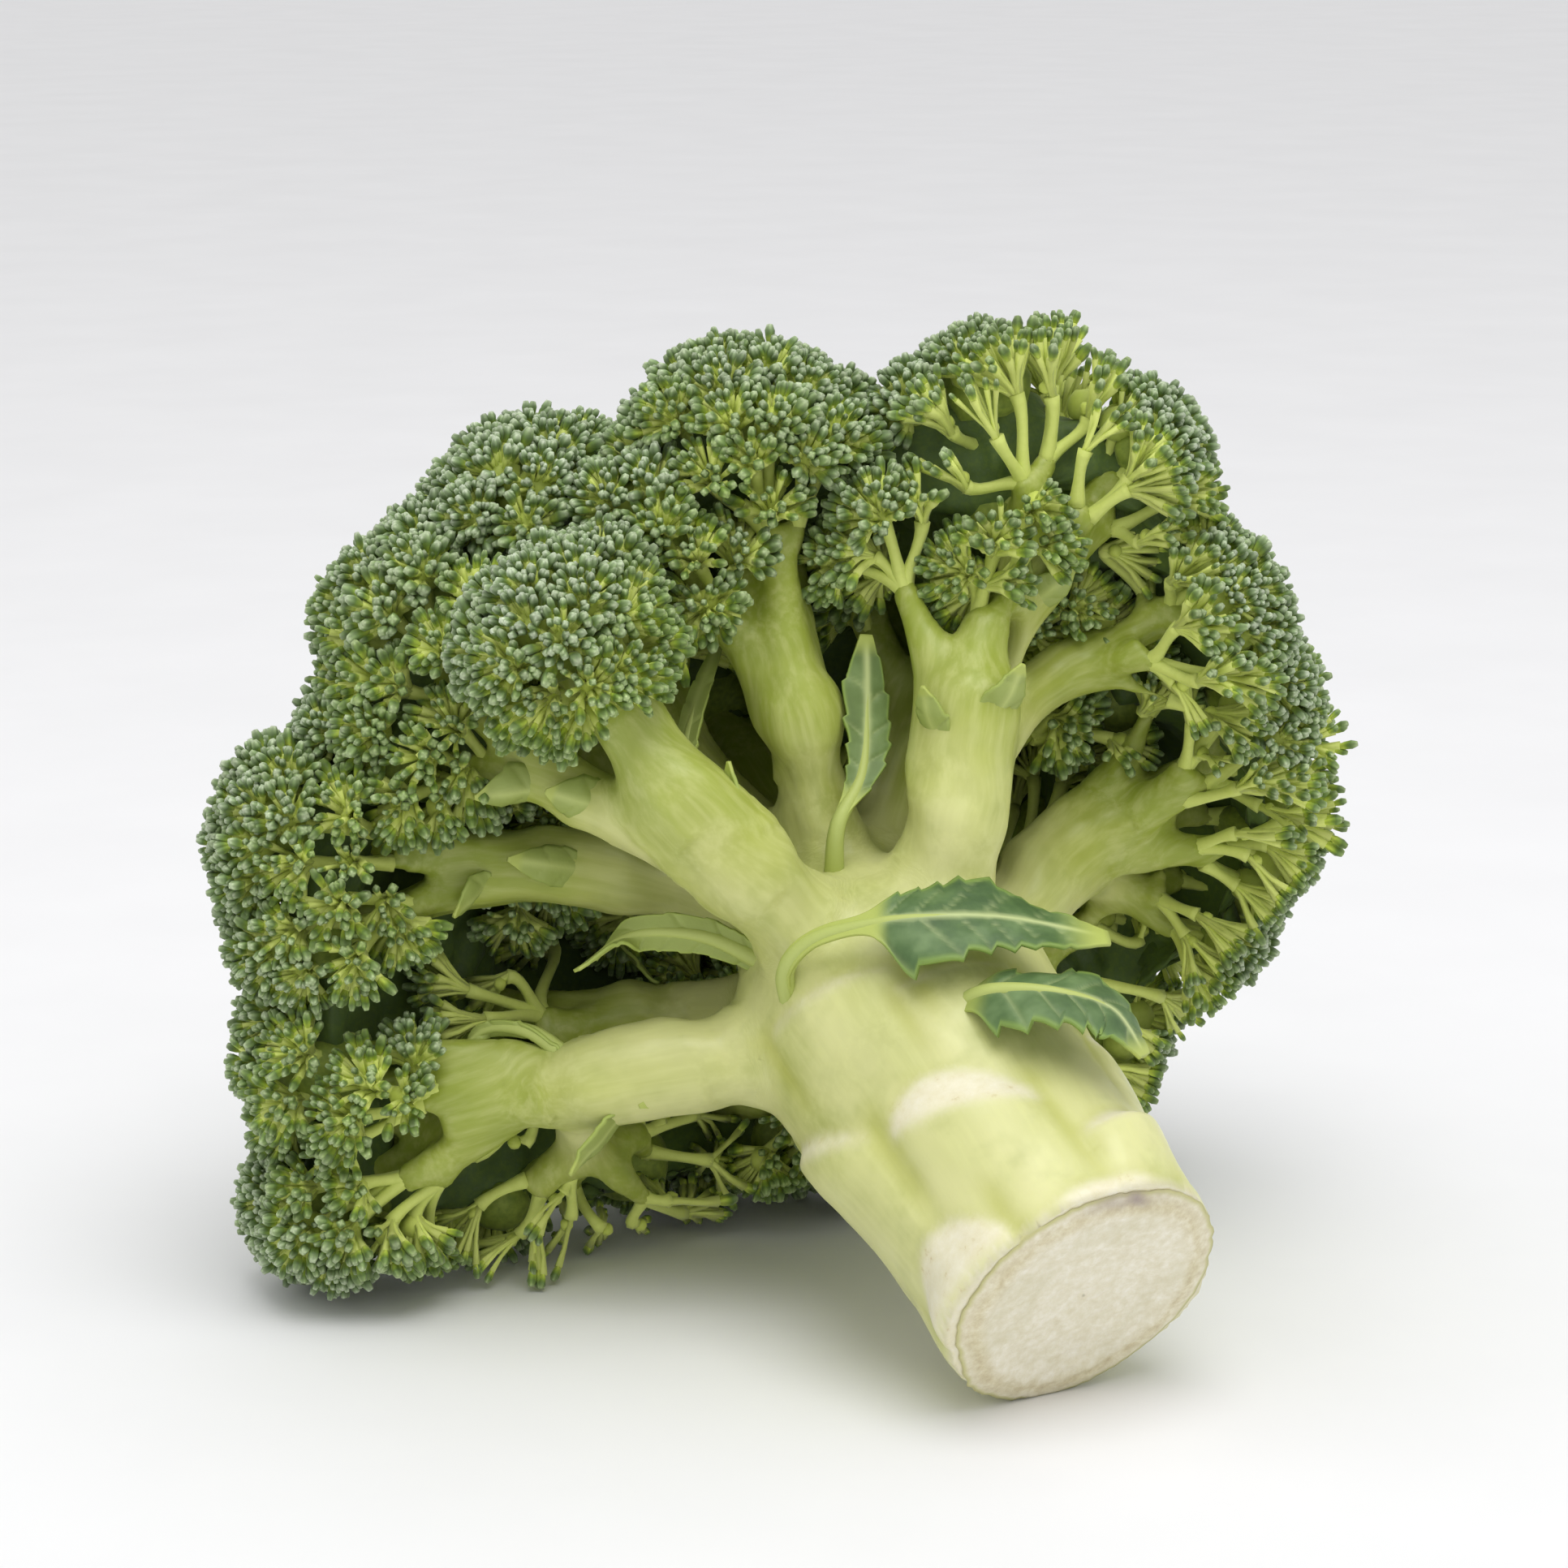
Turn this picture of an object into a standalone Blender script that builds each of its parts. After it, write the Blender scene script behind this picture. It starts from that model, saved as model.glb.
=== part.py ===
"""A cut broccoli head, lying on its crown and on the lower edge of its cut stalk.

Lengths in the tables are millimetres and angles degrees. Every place is given in the stalk's
growth frame as (up, azimuth, out): up is the distance along the stalk from its cut face, azimuth
turns about the stalk (0 is +X, 90 the upper side, 270 the side towards the ground) and out is
the distance from the stalk's axis.
"""

import math
from collections import namedtuple

import bmesh
import bpy
import numpy as np
from mathutils import Vector

MM = 0.001
GAP = 0.35  # between pieces that touch
STEM_CLEARANCE = 1.4  # between a bud head and a stem or leaf that passes it

STALK_TILT = 29.0  # the stalk's axis rises this much from the ground
CUT_RADIUS = 21.0
STALK_SIDES = 28
# (up, radius) of the stalk from its cut to its top, where the stems fork.
STALK_PROFILE = (
    (0, CUT_RADIUS), (2, 21.6), (12, 21.4), (25, 21.6), (38, 22.4), (50, 23.6), (60, 24.6),
    (68, 24.0), (75, 21.5), (82, 16.5), (87, 10.5), (90, 4.0),
)
STALK_RIBS = 5  # leaf scars run round the stalk in five rows
STALK_RIB_HEIGHT = 0.5

STEM_SIDES = 10
STEM_RINGS = 8
LEAF_RINGS = 9
LEAF_SIDES = 8
LEAF_THICKNESS = 1.0
BEAD_SPACING = 2.5  # between the balls that stand for a stem or leaf
HEAD_SUBDIVISIONS = 3
HEAD_STEPS = 48  # steps in which a bud head looks for what stands in its way
LUMP_HEIGHT = 0.07  # of a bud head, as a share of its size
LUMP_WAVES = 4.0

Floret = namedtuple("Floret", "name grows_from route radii heads")
Leaf = namedtuple("Leaf", "name grows_from route widths")

# A floret is a stem, from inside what it grows from to its tip, and its bud heads as
# (up, azimuth, out, radius).
FLORETS = (
    Floret(
        "upper_left", "stalk",
        ((50, 140, 10), (66, 140, 17), (78, 140, 32), (88, 140, 48), (96, 139, 58)),
        (10.0, 7.5),
        ((106, 137, 65, 17),),
    ),
    Floret(
        "left", "stalk",
        ((70, 178, 6), (88, 178, 17), (98, 178, 31), (104, 179, 46), (107, 181, 62)),
        (8.0, 5.5),
        ((119, 180, 77, 16), (107, 191, 76, 16)),
    ),
    Floret(
        "lower_left", "stalk",
        ((48, 203, 10), (62, 203, 18), (69, 203, 32), (75, 204, 50), (81, 207, 69)),
        (10.0, 6.5),
        ((98, 202, 80, 17), (90, 217, 89, 17)),
    ),
    Floret(
        "top", "stalk",
        ((72, 104, 6), (86, 104, 16), (98, 104, 32), (106, 104, 46)),
        (8.5, 7.0),
        ((131, 98, 59, 19), (125, 117, 54, 17)),
    ),
    Floret(
        "top_right", "stalk",
        ((48, 74, 10), (64, 74, 18), (75, 74, 32), (86, 73, 47), (94, 71, 56)),
        (10.0, 7.5),
        ((109, 67, 67, 17), (118, 84, 60, 14)),
    ),
    Floret(
        "right", "stalk",
        ((52, 10, 8), (66, 10, 18), (76, 10, 30), (83, 11, 46), (85, 14, 63)),
        (10.0, 6.5),
        ((84, 27, 73, 17), (80, 8, 73, 16)),
    ),
    Floret(
        "under_right", "stalk",
        ((54, 327, 9), (69, 327, 21), (81, 329, 36), (89, 331, 48)),
        (8.5, 6.5),
        ((84, 331, 71, 15), (107, 346, 62, 24), (107, 316, 61, 24)),
    ),
    Floret(
        "under", "stalk",
        ((54, 286, 8), (66, 287, 20), (76, 288, 32), (84, 289, 42)),
        (8.5, 6.5),
        ((87, 280, 57, 16), (88, 306, 70, 17), (115, 270, 53, 25)),
    ),
    Floret(
        "inner_left", "stalk",
        ((66, 232, 6), (82, 230, 20), (94, 228, 36), (99, 228, 48)),
        (7.5, 5.5),
        ((111, 222, 63, 26),),
    ),
    Floret(
        "back_left", "stalk",
        ((76, 150, 2), (92, 146, 10), (110, 142, 18), (122, 140, 26)),
        (7.5, 6.0),
        ((139, 132, 55, 19), (146, 115, 24, 27), (131, 193, 46, 27)),
    ),
    Floret(
        "back_right", "stalk",
        ((76, 40, 2), (90, 44, 12), (102, 45, 26), (109, 45, 38)),
        (8.0, 6.5),
        ((116, 46, 63, 24), (107, 19, 64, 23), (137, 60, 38, 27)),
    ),
    Floret(
        "centre", "stalk",
        ((76, 290, 1), (92, 290, 3), (108, 290, 5), (122, 290, 6)),
        (7.5, 6.5),
        ((146, 340, 8, 29), (133, 240, 40, 27), (132, 295, 40, 27), (130, 350, 43, 26)),
    ),
    Floret(
        "near_left", "upper_left",
        ((76, 143, 30), (88, 150, 42), (99, 156, 50), (110, 159, 54)),
        (5.5, 4.5),
        ((120, 170, 62, 18), (133, 153, 59, 20)),
    ),
    Floret(
        "bottom_left", "lower_left",
        ((73, 206, 46), (76, 216, 50), (79, 227, 53), (82, 238, 54)),
        (5.0, 4.0),
        ((88, 250, 60, 15), (87, 233, 70, 14)),
    ),
    Floret(
        "right_upper", "top_right",
        ((80, 72, 40), (92, 66, 52), (97, 62, 64), (101, 61, 74)),
        (5.5, 4.5),
        ((104, 59, 83, 14), (116, 70, 75, 17)),
    ),
    Floret(
        "right_middle", "top_right",
        ((72, 73, 30), (82, 62, 38), (90, 52, 48), (91, 45, 60), (88, 44, 70)),
        (5.0, 4.2),
        ((85, 44, 75, 16),),
    ),
    Floret(
        "right_lower", "right",
        ((79, 8, 38), (85, 0, 50), (86, 354, 60), (82, 352, 68)),
        (5.0, 4.0),
        ((78, 354, 71, 14),),
    ),
)

# A leaf runs along its route, which starts inside what it grows from. Its widths are shared out
# evenly from its base to its tip.
LEAVES = (
    Leaf(
        "leaf_long", "stalk",
        (
            (60, 163, 22), (61, 150, 27), (60, 136, 29), (56, 120, 30), (52, 106, 31),
            (47, 85, 32), (40, 62, 36),
        ),
        (3.0, 3.0, 3.0, 3.5, 9.0, 13.0, 12.0, 8.0, 2.0),
    ),
    Leaf(
        "leaf_short", "stalk",
        ((42, 106, 21), (38, 97, 27), (32, 84, 31), (27, 71, 32), (20, 64, 30)),
        (4.0, 6.0, 10.0, 12.0, 11.0, 8.0, 2.0),
    ),
    Leaf(
        "leaf_upright", "stalk",
        ((76, 116, 18), (79, 108, 26), (84, 95, 30), (92, 89, 36), (100, 87, 44)),
        (2.5, 2.0, 2.0, 5.0, 7.0, 6.5, 2.0),
    ),
    Leaf(
        "leaf_narrow", "upper_left",
        ((86, 140, 40), (95, 138, 37), (104, 128, 36), (114, 112, 37)),
        (3.5, 3.5, 4.0, 3.5, 1.5),
    ),
    Leaf(
        "leaf_curled", "stalk",
        ((72, 168, 19), (79, 170, 27), (84, 177, 36), (81, 181, 46)),
        (5.0, 5.5, 6.0, 5.0, 2.0),
    ),
    Leaf(
        "leaf_thin", "lower_left",
        ((76, 200, 48), (84, 198, 52), (89, 200, 58), (87, 203, 65)),
        (3.0, 3.0, 2.5, 1.2),
    ),
)

# The colour and roughness of each kind of piece.
STALK_GREEN = ((0.66, 0.75, 0.33), 0.45)
STEM_GREEN = ((0.46, 0.58, 0.19), 0.5)
BUD_GREEN = ((0.06, 0.13, 0.06), 0.75)
LEAF_GREEN = ((0.11, 0.22, 0.10), 0.6)

TILT = math.radians(STALK_TILT)
UP_AXIS = Vector((0, math.cos(TILT), math.sin(TILT)))
SIDE_AXIS = Vector((1, 0, 0))
TOP_AXIS = Vector((0, -math.sin(TILT), math.cos(TILT)))
CUT_CENTRE = Vector((0, 0, (CUT_RADIUS + STALK_RIB_HEIGHT) * math.cos(TILT)))


def clear_scene():
    for thing in list(bpy.data.objects):
        bpy.data.objects.remove(thing, do_unlink=True)


def outward(azimuth):
    """The direction away from the stalk's axis at this azimuth."""
    turn = math.radians(azimuth)
    return math.cos(turn) * SIDE_AXIS + math.sin(turn) * TOP_AXIS


def grown(up, azimuth, out):
    """The place in millimetres, before the object is centred, of a point of the growth frame."""
    return CUT_CENTRE + up * UP_AXIS + out * outward(azimuth)


def smooth_route(points, count):
    """Evenly spread places on a smooth curve through all points."""
    points = [Vector(point) for point in points]
    ends = [2 * points[0] - points[1], *points, 2 * points[-1] - points[-2]]
    places = []
    for step in range(count):
        along = step * (len(points) - 1) / (count - 1)
        span = min(int(along), len(points) - 2)
        t = along - span
        before, start, end, after = ends[span:span + 4]
        bend = 2 * before - 5 * start + 4 * end - after
        twist = -before + 3 * start - 3 * end + after
        places.append(start + 0.5 * (t * (end - before) + t * t * bend + t * t * t * twist))
    return places


def shared_out(values, count):
    """Values read off evenly from first to last."""
    return np.interp(np.linspace(0, len(values) - 1, count), range(len(values)), values).tolist()


def directions_along(places):
    """The unit direction of travel at each place."""
    count = len(places)
    return [(places[min(i + 1, count - 1)] - places[max(i - 1, 0)]).normalized() for i in range(count)]


def material(name, finish):
    colour, roughness = finish
    made = bpy.data.materials.new(name)
    made.use_nodes = True
    shader = made.node_tree.nodes["Principled BSDF"]
    shader.inputs["Base Color"].default_value = (*colour, 1)
    shader.inputs["Roughness"].default_value = roughness
    shader.inputs["Metallic"].default_value = 0
    return made


def mesh_object(name, bm, made_of=None):
    """Turns a bmesh, whose places are in millimetres, into a smooth object."""
    bmesh.ops.recalc_face_normals(bm, faces=bm.faces)
    bmesh.ops.scale(bm, vec=(MM, MM, MM), verts=bm.verts)
    mesh = bpy.data.meshes.new(name)
    bm.to_mesh(mesh)
    bm.free()
    mesh.shade_smooth()
    if made_of:
        mesh.materials.append(made_of)
    thing = bpy.data.objects.new(name, mesh)
    bpy.context.scene.collection.objects.link(thing)
    return thing


def skin_over(rings):
    """A closed bmesh over rings of places that all have the same count."""
    bm = bmesh.new()
    loops = [[bm.verts.new(place) for place in ring] for ring in rings]
    for lower, upper in zip(loops, loops[1:]):
        for i in range(len(lower)):
            j = (i + 1) % len(lower)
            bm.faces.new((lower[i], lower[j], upper[j], upper[i]))
    bm.faces.new(loops[0][::-1])
    bm.faces.new(loops[-1])
    return bm


def ring_round(centre, across, through, width, depth, sides):
    turns = (2 * math.pi * side / sides for side in range(sides))
    return [centre + width * math.cos(turn) * across + depth * math.sin(turn) * through for turn in turns]


def stalk_shape(extra=0.0):
    """The stalk, ribbed by the leaf scars; extra makes it stouter all round."""
    rings = []
    last = len(STALK_PROFILE) - 1
    for index, (up, radius) in enumerate(STALK_PROFILE):
        up += extra * ((index == last) - (index == 0))
        ring = []
        for side in range(STALK_SIDES):
            azimuth = 360 * side / STALK_SIDES
            rib = STALK_RIB_HEIGHT * math.cos(STALK_RIBS * math.radians(azimuth + 90 + 2 * up))
            ring.append(grown(up, azimuth, radius + (rib if index < last else 0) + extra))
        rings.append(ring)
    return skin_over(rings)


def stem_line(floret):
    """The centres and radii of a floret's stem."""
    places = smooth_route([grown(*point) for point in floret.route], STEM_RINGS)
    return places, shared_out(floret.radii, STEM_RINGS)


def stem_shape(floret, extra=0.0):
    places, radii = stem_line(floret)
    along = directions_along(places)
    places[0] = places[0] - extra * along[0]
    places[-1] = places[-1] + extra * along[-1]
    rings = []
    for place, radius, direction in zip(places, radii, along):
        across = direction.cross(TOP_AXIS + 0.3 * SIDE_AXIS).normalized()
        through = across.cross(direction)
        rings.append(ring_round(place, across, through, radius + extra, radius + extra, STEM_SIDES))
    return skin_over(rings)


def leaf_line(leaf):
    """The centres and half widths of a leaf."""
    places = smooth_route([grown(*point) for point in leaf.route], LEAF_RINGS)
    return places, [width / 2 for width in shared_out(leaf.widths, LEAF_RINGS)]


def leaf_shape(leaf):
    """A thin blade whose flat side faces away from the stalk's axis."""
    places, half_widths = leaf_line(leaf)
    azimuths = shared_out([azimuth for _, azimuth, _ in leaf.route], LEAF_RINGS)
    rings = []
    for place, half, direction, azimuth in zip(places, half_widths, directions_along(places), azimuths):
        across = direction.cross(outward(azimuth)).normalized()
        through = across.cross(direction)
        rings.append(ring_round(place, across, through, half, LEAF_THICKNESS / 2, LEAF_SIDES))
    return skin_over(rings)


def beads(places, radii):
    """Balls, as rows of (x, y, z, radius), that stand for a tube through these places."""
    rows = []
    for start, end, first, second in zip(places, places[1:], radii, radii[1:]):
        steps = max(1, math.ceil((end - start).length / BEAD_SPACING))
        for step in range(steps):
            share = step / steps
            rows.append((*start.lerp(end, share), first + share * (second - first)))
    rows.append((*places[-1], radii[-1]))
    return rows


def obstacles():
    """What the bud heads stay clear of: the beads of every stem and leaf."""
    rows = []
    for floret in FLORETS:
        rows.extend(beads(*stem_line(floret)))
    for leaf in LEAVES:
        rows.extend(beads(*leaf_line(leaf)))
    return np.array(rows)


def head_walls(centre, size, heads):
    """Planes, as (point, inward normal), that part a head from its neighbours and the ground."""
    walls = [(Vector((centre.x, centre.y, 0)), Vector((0, 0, 1)))]
    for other, other_size in heads:
        apart = (other - centre).length
        if 0 < apart < (size + other_size) * (1 + LUMP_HEIGHT) + GAP:
            normal = (centre - other) / apart
            reach = (apart * apart + size * size - other_size * other_size) / (2 * apart)
            walls.append((centre - (reach - GAP / 2) * normal, normal))
    return walls


def reach_of(centre, direction, size, walls, blocks, phase):
    """How far a head reaches in one direction."""
    wave = Vector(direction) * LUMP_WAVES
    lump = math.sin(wave.x + phase) * math.sin(wave.y + 2 * phase) + math.sin(wave.z + 3 * phase)
    reach = size * (1 + LUMP_HEIGHT * lump / 2)
    for point, normal in walls:
        closing = -direction.dot(normal)
        if closing > 1e-6:
            reach = min(reach, (centre - point).dot(normal) / closing)
    steps = np.linspace(0, reach, HEAD_STEPS)
    track = np.array(centre) + steps[:, None] * np.array(direction)
    space = np.linalg.norm(track[:, None] - blocks[None, :, :3], axis=2) - blocks[:, 3] - STEM_CLEARANCE
    blocked = (space < 0).any(axis=1)
    if blocked.any():
        reach = float(steps[max(int(blocked.argmax()) - 1, 0)])
    return reach


def head_shape(centre, size, heads, stem, blocks):
    """A lumpy ball, flat where it meets its neighbours, its stem's tip and the ground."""
    walls = head_walls(centre, size, heads)
    near = np.linalg.norm(blocks[:, :3] - np.array(centre), axis=1) < 2 * size + blocks[:, 3]
    places, radii = stem
    tip, tip_direction = places[-1], directions_along(places)[-1]
    if (centre - tip).dot(tip_direction) > size / 3:
        walls.append((tip + GAP * tip_direction, tip_direction))
        near &= np.linalg.norm(blocks[:, :3] - np.array(tip), axis=1) > 1.1 * radii[-1]
    phase = centre.x + centre.y + centre.z
    bm = bmesh.new()
    bmesh.ops.create_icosphere(bm, subdivisions=HEAD_SUBDIVISIONS, radius=1)
    for vert in bm.verts:
        direction = vert.co.normalized()
        vert.co = centre + reach_of(centre, direction, size, walls, blocks[near], phase) * direction
    return bm


def cut_clear(thing, cutters):
    for cutter in cutters:
        cut = thing.modifiers.new("clear_of_" + cutter.name, "BOOLEAN")
        cut.operation = "DIFFERENCE"
        cut.object = cutter


def make_cutter(name, bm):
    cutter = mesh_object("cutter_" + name, bm)
    cutter.hide_render = True
    cutter.display_type = "WIRE"
    return cutter


def free_beads(floret):
    """The beads of a floret's stem that stand clear of the stalk."""
    ups, radii = zip(*STALK_PROFILE)
    rows = np.array(beads(*stem_line(floret)))
    from_cut = rows[:, :3] - np.array(CUT_CENTRE)
    up = from_cut @ np.array(UP_AXIS)
    out = np.linalg.norm(from_cut - up[:, None] * np.array(UP_AXIS), axis=1)
    return rows[(out + rows[:, 3] > np.interp(up, ups, radii)) | (up > ups[-1])]


def lines_touch(first, second):
    """Whether two stems, given as beads, come closer than the gap."""
    apart = np.linalg.norm(first[:, None, :3] - second[None, :, :3], axis=2)
    return bool((apart < first[:, None, 3] + second[None, :, 3] + 2 * GAP).any())


def make_stalk():
    return mesh_object("stalk", stalk_shape(), material("stalk_green", STALK_GREEN))


def make_stems(cutters):
    """The stems in order, each cut clear of the stalk and of the stems before it."""
    green = material("stem_green", STEM_GREEN)
    made = []
    lines = {}
    for floret in FLORETS:
        stem = mesh_object("stem_" + floret.name, stem_shape(floret), green)
        line = free_beads(floret)
        touched = [name for name, other in lines.items() if lines_touch(line, other)]
        cut_clear(stem, [cutters["stalk"], *(cutters[name] for name in touched)])
        lines[floret.name] = line
        made.append(stem)
    return made


def make_heads():
    green = material("bud_green", BUD_GREEN)
    heads = [(grown(*head[:3]), head[3]) for floret in FLORETS for head in floret.heads]
    blocks = obstacles()
    made = []
    for floret in FLORETS:
        for number, head in enumerate(floret.heads, 1):
            bm = head_shape(grown(*head[:3]), head[3], heads, stem_line(floret), blocks)
            made.append(mesh_object(f"buds_{floret.name}_{number}", bm, green))
    return made


def make_leaves(cutters):
    green = material("leaf_green", LEAF_GREEN)
    made = []
    for leaf in LEAVES:
        blade = mesh_object(leaf.name, leaf_shape(leaf), green)
        cut_clear(blade, [cutters[leaf.grows_from]])
        made.append(blade)
    return made


def box_of(things):
    """The lowest and highest corners of the things as they stand with their cuts made."""
    graph = bpy.context.evaluated_depsgraph_get()
    corners = []
    for thing in things:
        cut = thing.evaluated_get(graph)
        corners.extend(cut.matrix_world @ Vector(corner) for corner in cut.bound_box)
    corners = np.array(corners)
    return corners.min(axis=0), corners.max(axis=0)


def centre_over_origin(things, cutters):
    """Hangs everything on one empty, and puts the middle of the footprint on the origin."""
    low, high = box_of(things)
    base = bpy.data.objects.new("broccoli", None)
    bpy.context.scene.collection.objects.link(base)
    base.location = (-(low[0] + high[0]) / 2, -(low[1] + high[1]) / 2, -low[2])
    for thing in [*things, *cutters]:
        thing.parent = base


def main():
    clear_scene()
    cutters = {"stalk": make_cutter("stalk", stalk_shape(GAP))}
    for floret in FLORETS:
        cutters[floret.name] = make_cutter(floret.name, stem_shape(floret, GAP))
    pieces = [make_stalk(), *make_stems(cutters), *make_heads(), *make_leaves(cutters)]
    centre_over_origin(pieces, cutters.values())


main()
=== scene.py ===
"""A cut broccoli head lying on its crown: the looks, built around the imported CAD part.

The stalk and its stems become one smooth skin with a cut face, every CAD bud head becomes many
umbels of flower buds on branching pedicels, and every leaf gets a toothed blade with veins.
Lengths are millimetres and angles degrees, until mesh_object() and MM turn them into metres.
"""

import math
import bmesh
import bpy
import numpy as np
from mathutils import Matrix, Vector
from mathutils.bvhtree import BVHTree
from mathutils.kdtree import KDTree


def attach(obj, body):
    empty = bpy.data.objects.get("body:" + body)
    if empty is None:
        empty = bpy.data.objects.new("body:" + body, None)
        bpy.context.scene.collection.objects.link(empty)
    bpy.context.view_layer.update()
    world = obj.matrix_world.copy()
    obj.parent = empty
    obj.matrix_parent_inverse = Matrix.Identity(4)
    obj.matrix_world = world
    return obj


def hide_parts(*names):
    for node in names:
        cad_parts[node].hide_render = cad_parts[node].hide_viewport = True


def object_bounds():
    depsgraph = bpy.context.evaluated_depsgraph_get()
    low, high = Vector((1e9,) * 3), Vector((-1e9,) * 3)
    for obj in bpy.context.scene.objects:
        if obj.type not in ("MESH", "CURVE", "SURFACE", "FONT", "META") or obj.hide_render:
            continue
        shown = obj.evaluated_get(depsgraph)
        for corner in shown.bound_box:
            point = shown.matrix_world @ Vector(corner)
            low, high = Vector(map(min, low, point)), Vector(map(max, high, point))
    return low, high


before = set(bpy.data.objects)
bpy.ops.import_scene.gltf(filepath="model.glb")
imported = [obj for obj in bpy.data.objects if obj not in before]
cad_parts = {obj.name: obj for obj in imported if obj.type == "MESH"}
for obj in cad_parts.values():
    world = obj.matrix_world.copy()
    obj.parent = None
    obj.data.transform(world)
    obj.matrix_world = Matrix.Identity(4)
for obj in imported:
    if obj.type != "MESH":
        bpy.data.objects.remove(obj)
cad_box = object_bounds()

MM = 0.001
SEED = 7

STALK_TILT = 29.0  # the stalk's axis rises this much from the ground
STALK_RADIUS = 22.5
FORK_HEIGHT = 60.0  # up the stalk, near where the main stems part
UP_AXIS = np.array((0, math.cos(math.radians(STALK_TILT)), math.sin(math.radians(STALK_TILT))))
SIDE_AXIS = np.array((1.0, 0, 0))
TOP_AXIS = np.array((0, -math.sin(math.radians(STALK_TILT)), math.cos(math.radians(STALK_TILT))))

CAMERA_AZIMUTH = -30.0
CAMERA_ELEVATION = 13.0
CAMERA_DISTANCE = 700.0
CAMERA_FIELD = 20.3
CAMERA_AIM = (2.1, 11.6, 1.0)  # from the middle of the CAD box
FLOOR_SIDE = 8000.0
SOFTBOX_PLACE = (-0.15, -0.5, 1.4)  # metres

SKIN_INFLATE = 0.45
SKIN_VOXEL = 1.05
SKIN_SMOOTHING = 12
STEM_SMOOTHING = 40  # more for the thick lower stems
RELIEF_SMOOTHING = 3
LINE_STEPS = 60  # points of a stem's smooth centre line
CUT_DEPTH = 1.6  # from the plane of the cut to the back of the cut face, inside the skin

CROWN_INFLATE = 4.5  # fills the valleys between neighbouring bud heads
CROWN_SHRINK = 3.7
CROWN_VOXEL = 2.0
CROWN_SMOOTHING = 10
FREE_VIEW = 9.0  # umbels stand only where the crown leaves this much room before them
FILLING_INFLATE = 6.0
FILLING_DEPTH = 9.5  # from the outside of the bud heads to the dark filling

FORK_PLACE = 0.6  # share of a stem's length at which its limbs part
LIMBS = 3  # of a stem, for each bud head
UMBEL_SPACING = 8.2
UMBEL_RADIUS = 3.3  # from an umbel's middle to the foot of its buds
UMBEL_REACH = 112.0  # buds stand at up to this angle from an umbel's own direction
OPEN_UMBEL_REACH = 84.0
HEAD_REACH = 128.0  # umbels stand at up to this angle from a head's axis
OPEN_HEAD_REACH = 68.0  # past this angle, florets that show their branches bear bare fans
OPEN_FLORETS = (
    "right", "right_upper", "right_middle", "right_lower", "under_right", "bottom_left", "inner_left",
)
BUD_SPACING = 1.5
BUD_LENGTH = 2.9
BUD_WIDTH = 1.45
PEDICEL_RADIUS = 0.36
FLOOR_GAP = 1.8  # from the floor to the middle of the lowest buds
SKIN_GAP = 1.3  # from the skin to the middle of the nearest buds
LEAF_THICKNESS = 0.55

# Places and vectors


def length(vectors):
    return np.linalg.norm(vectors, axis=-1)


def unit(vectors):
    """The vectors, each one unit long."""
    return vectors / np.maximum(np.linalg.norm(vectors, axis=-1, keepdims=True), 1e-9)


def dot(first, second):
    return (first * second).sum(axis=-1)


def outward(azimuth):
    """The direction away from the stalk's axis at an azimuth: 0 is +X and 90 the upper side."""
    turn = np.radians(azimuth)
    return np.cos(turn)[..., None] * SIDE_AXIS + np.sin(turn)[..., None] * TOP_AXIS


def grown(up, azimuth, out):
    """A place in the stalk's growth frame, as a point of the row frame."""
    up, azimuth, out = (np.asarray(value, float) for value in (up, azimuth, out))
    return CUT_CENTRE + up[..., None] * UP_AXIS + out[..., None] * outward(azimuth)


def growth_of(points):
    """(up, azimuth, out) of points of the row frame."""
    from_cut = points - CUT_CENTRE
    side, top = from_cut @ SIDE_AXIS, from_cut @ TOP_AXIS
    return from_cut @ UP_AXIS, np.degrees(np.arctan2(top, side)) % 360, np.hypot(side, top)


def lengths_along(line):
    """How far each point of a line is along it."""
    return np.concatenate([[0], np.cumsum(length(np.diff(line, axis=0)))])


def box_middle(points):
    return (points.min(axis=0) + points.max(axis=0)) / 2


def turn_between(first, second):
    """The signed angle from one azimuth to another, between -180 and 180."""
    return (np.asarray(second) - first + 180) % 360 - 180


def smooth_step(value, low, high):
    share = np.clip((value - low) / (high - low), 0, 1)
    return share * share * (3 - 2 * share)


def curve_through(points, count):
    """That many points along a smooth curve through the given ones."""
    points = np.asarray(points, float)
    ends = np.vstack([2 * points[:1] - points[1:2], points, 2 * points[-1:] - points[-2:-1]])
    place = np.linspace(0, len(points) - 1, count)
    start = np.minimum(place.astype(int), len(points) - 2)
    share = (place - start)[:, None]
    before, first, second, after = (ends[start + step] for step in range(4))
    return 0.5 * (
        2 * first
        + (second - before) * share
        + (2 * before - 5 * first + 4 * second - after) * share**2
        + (3 * first - before - 3 * second + after) * share**3
    )


def wavy(points, size, seed):
    """Smooth noise between about -1 and 1, as a sum of slanted waves about that size across."""
    waves = np.random.default_rng(seed)
    total = np.zeros(len(points))
    for _ in range(7):
        direction = unit(waves.normal(size=3)) * 2 * math.pi / (size * waves.uniform(0.7, 1.5))
        total += np.sin(points @ direction + waves.uniform(0, 6.3))
    return total / 4


# The CAD nodes


def read(items, field, width, kind=float):
    """A field of all the items of a mesh, as rows of that many values."""
    values = np.empty(len(items) * width, kind)
    items.foreach_get(field, values)
    return values.reshape(-1, width)


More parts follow.
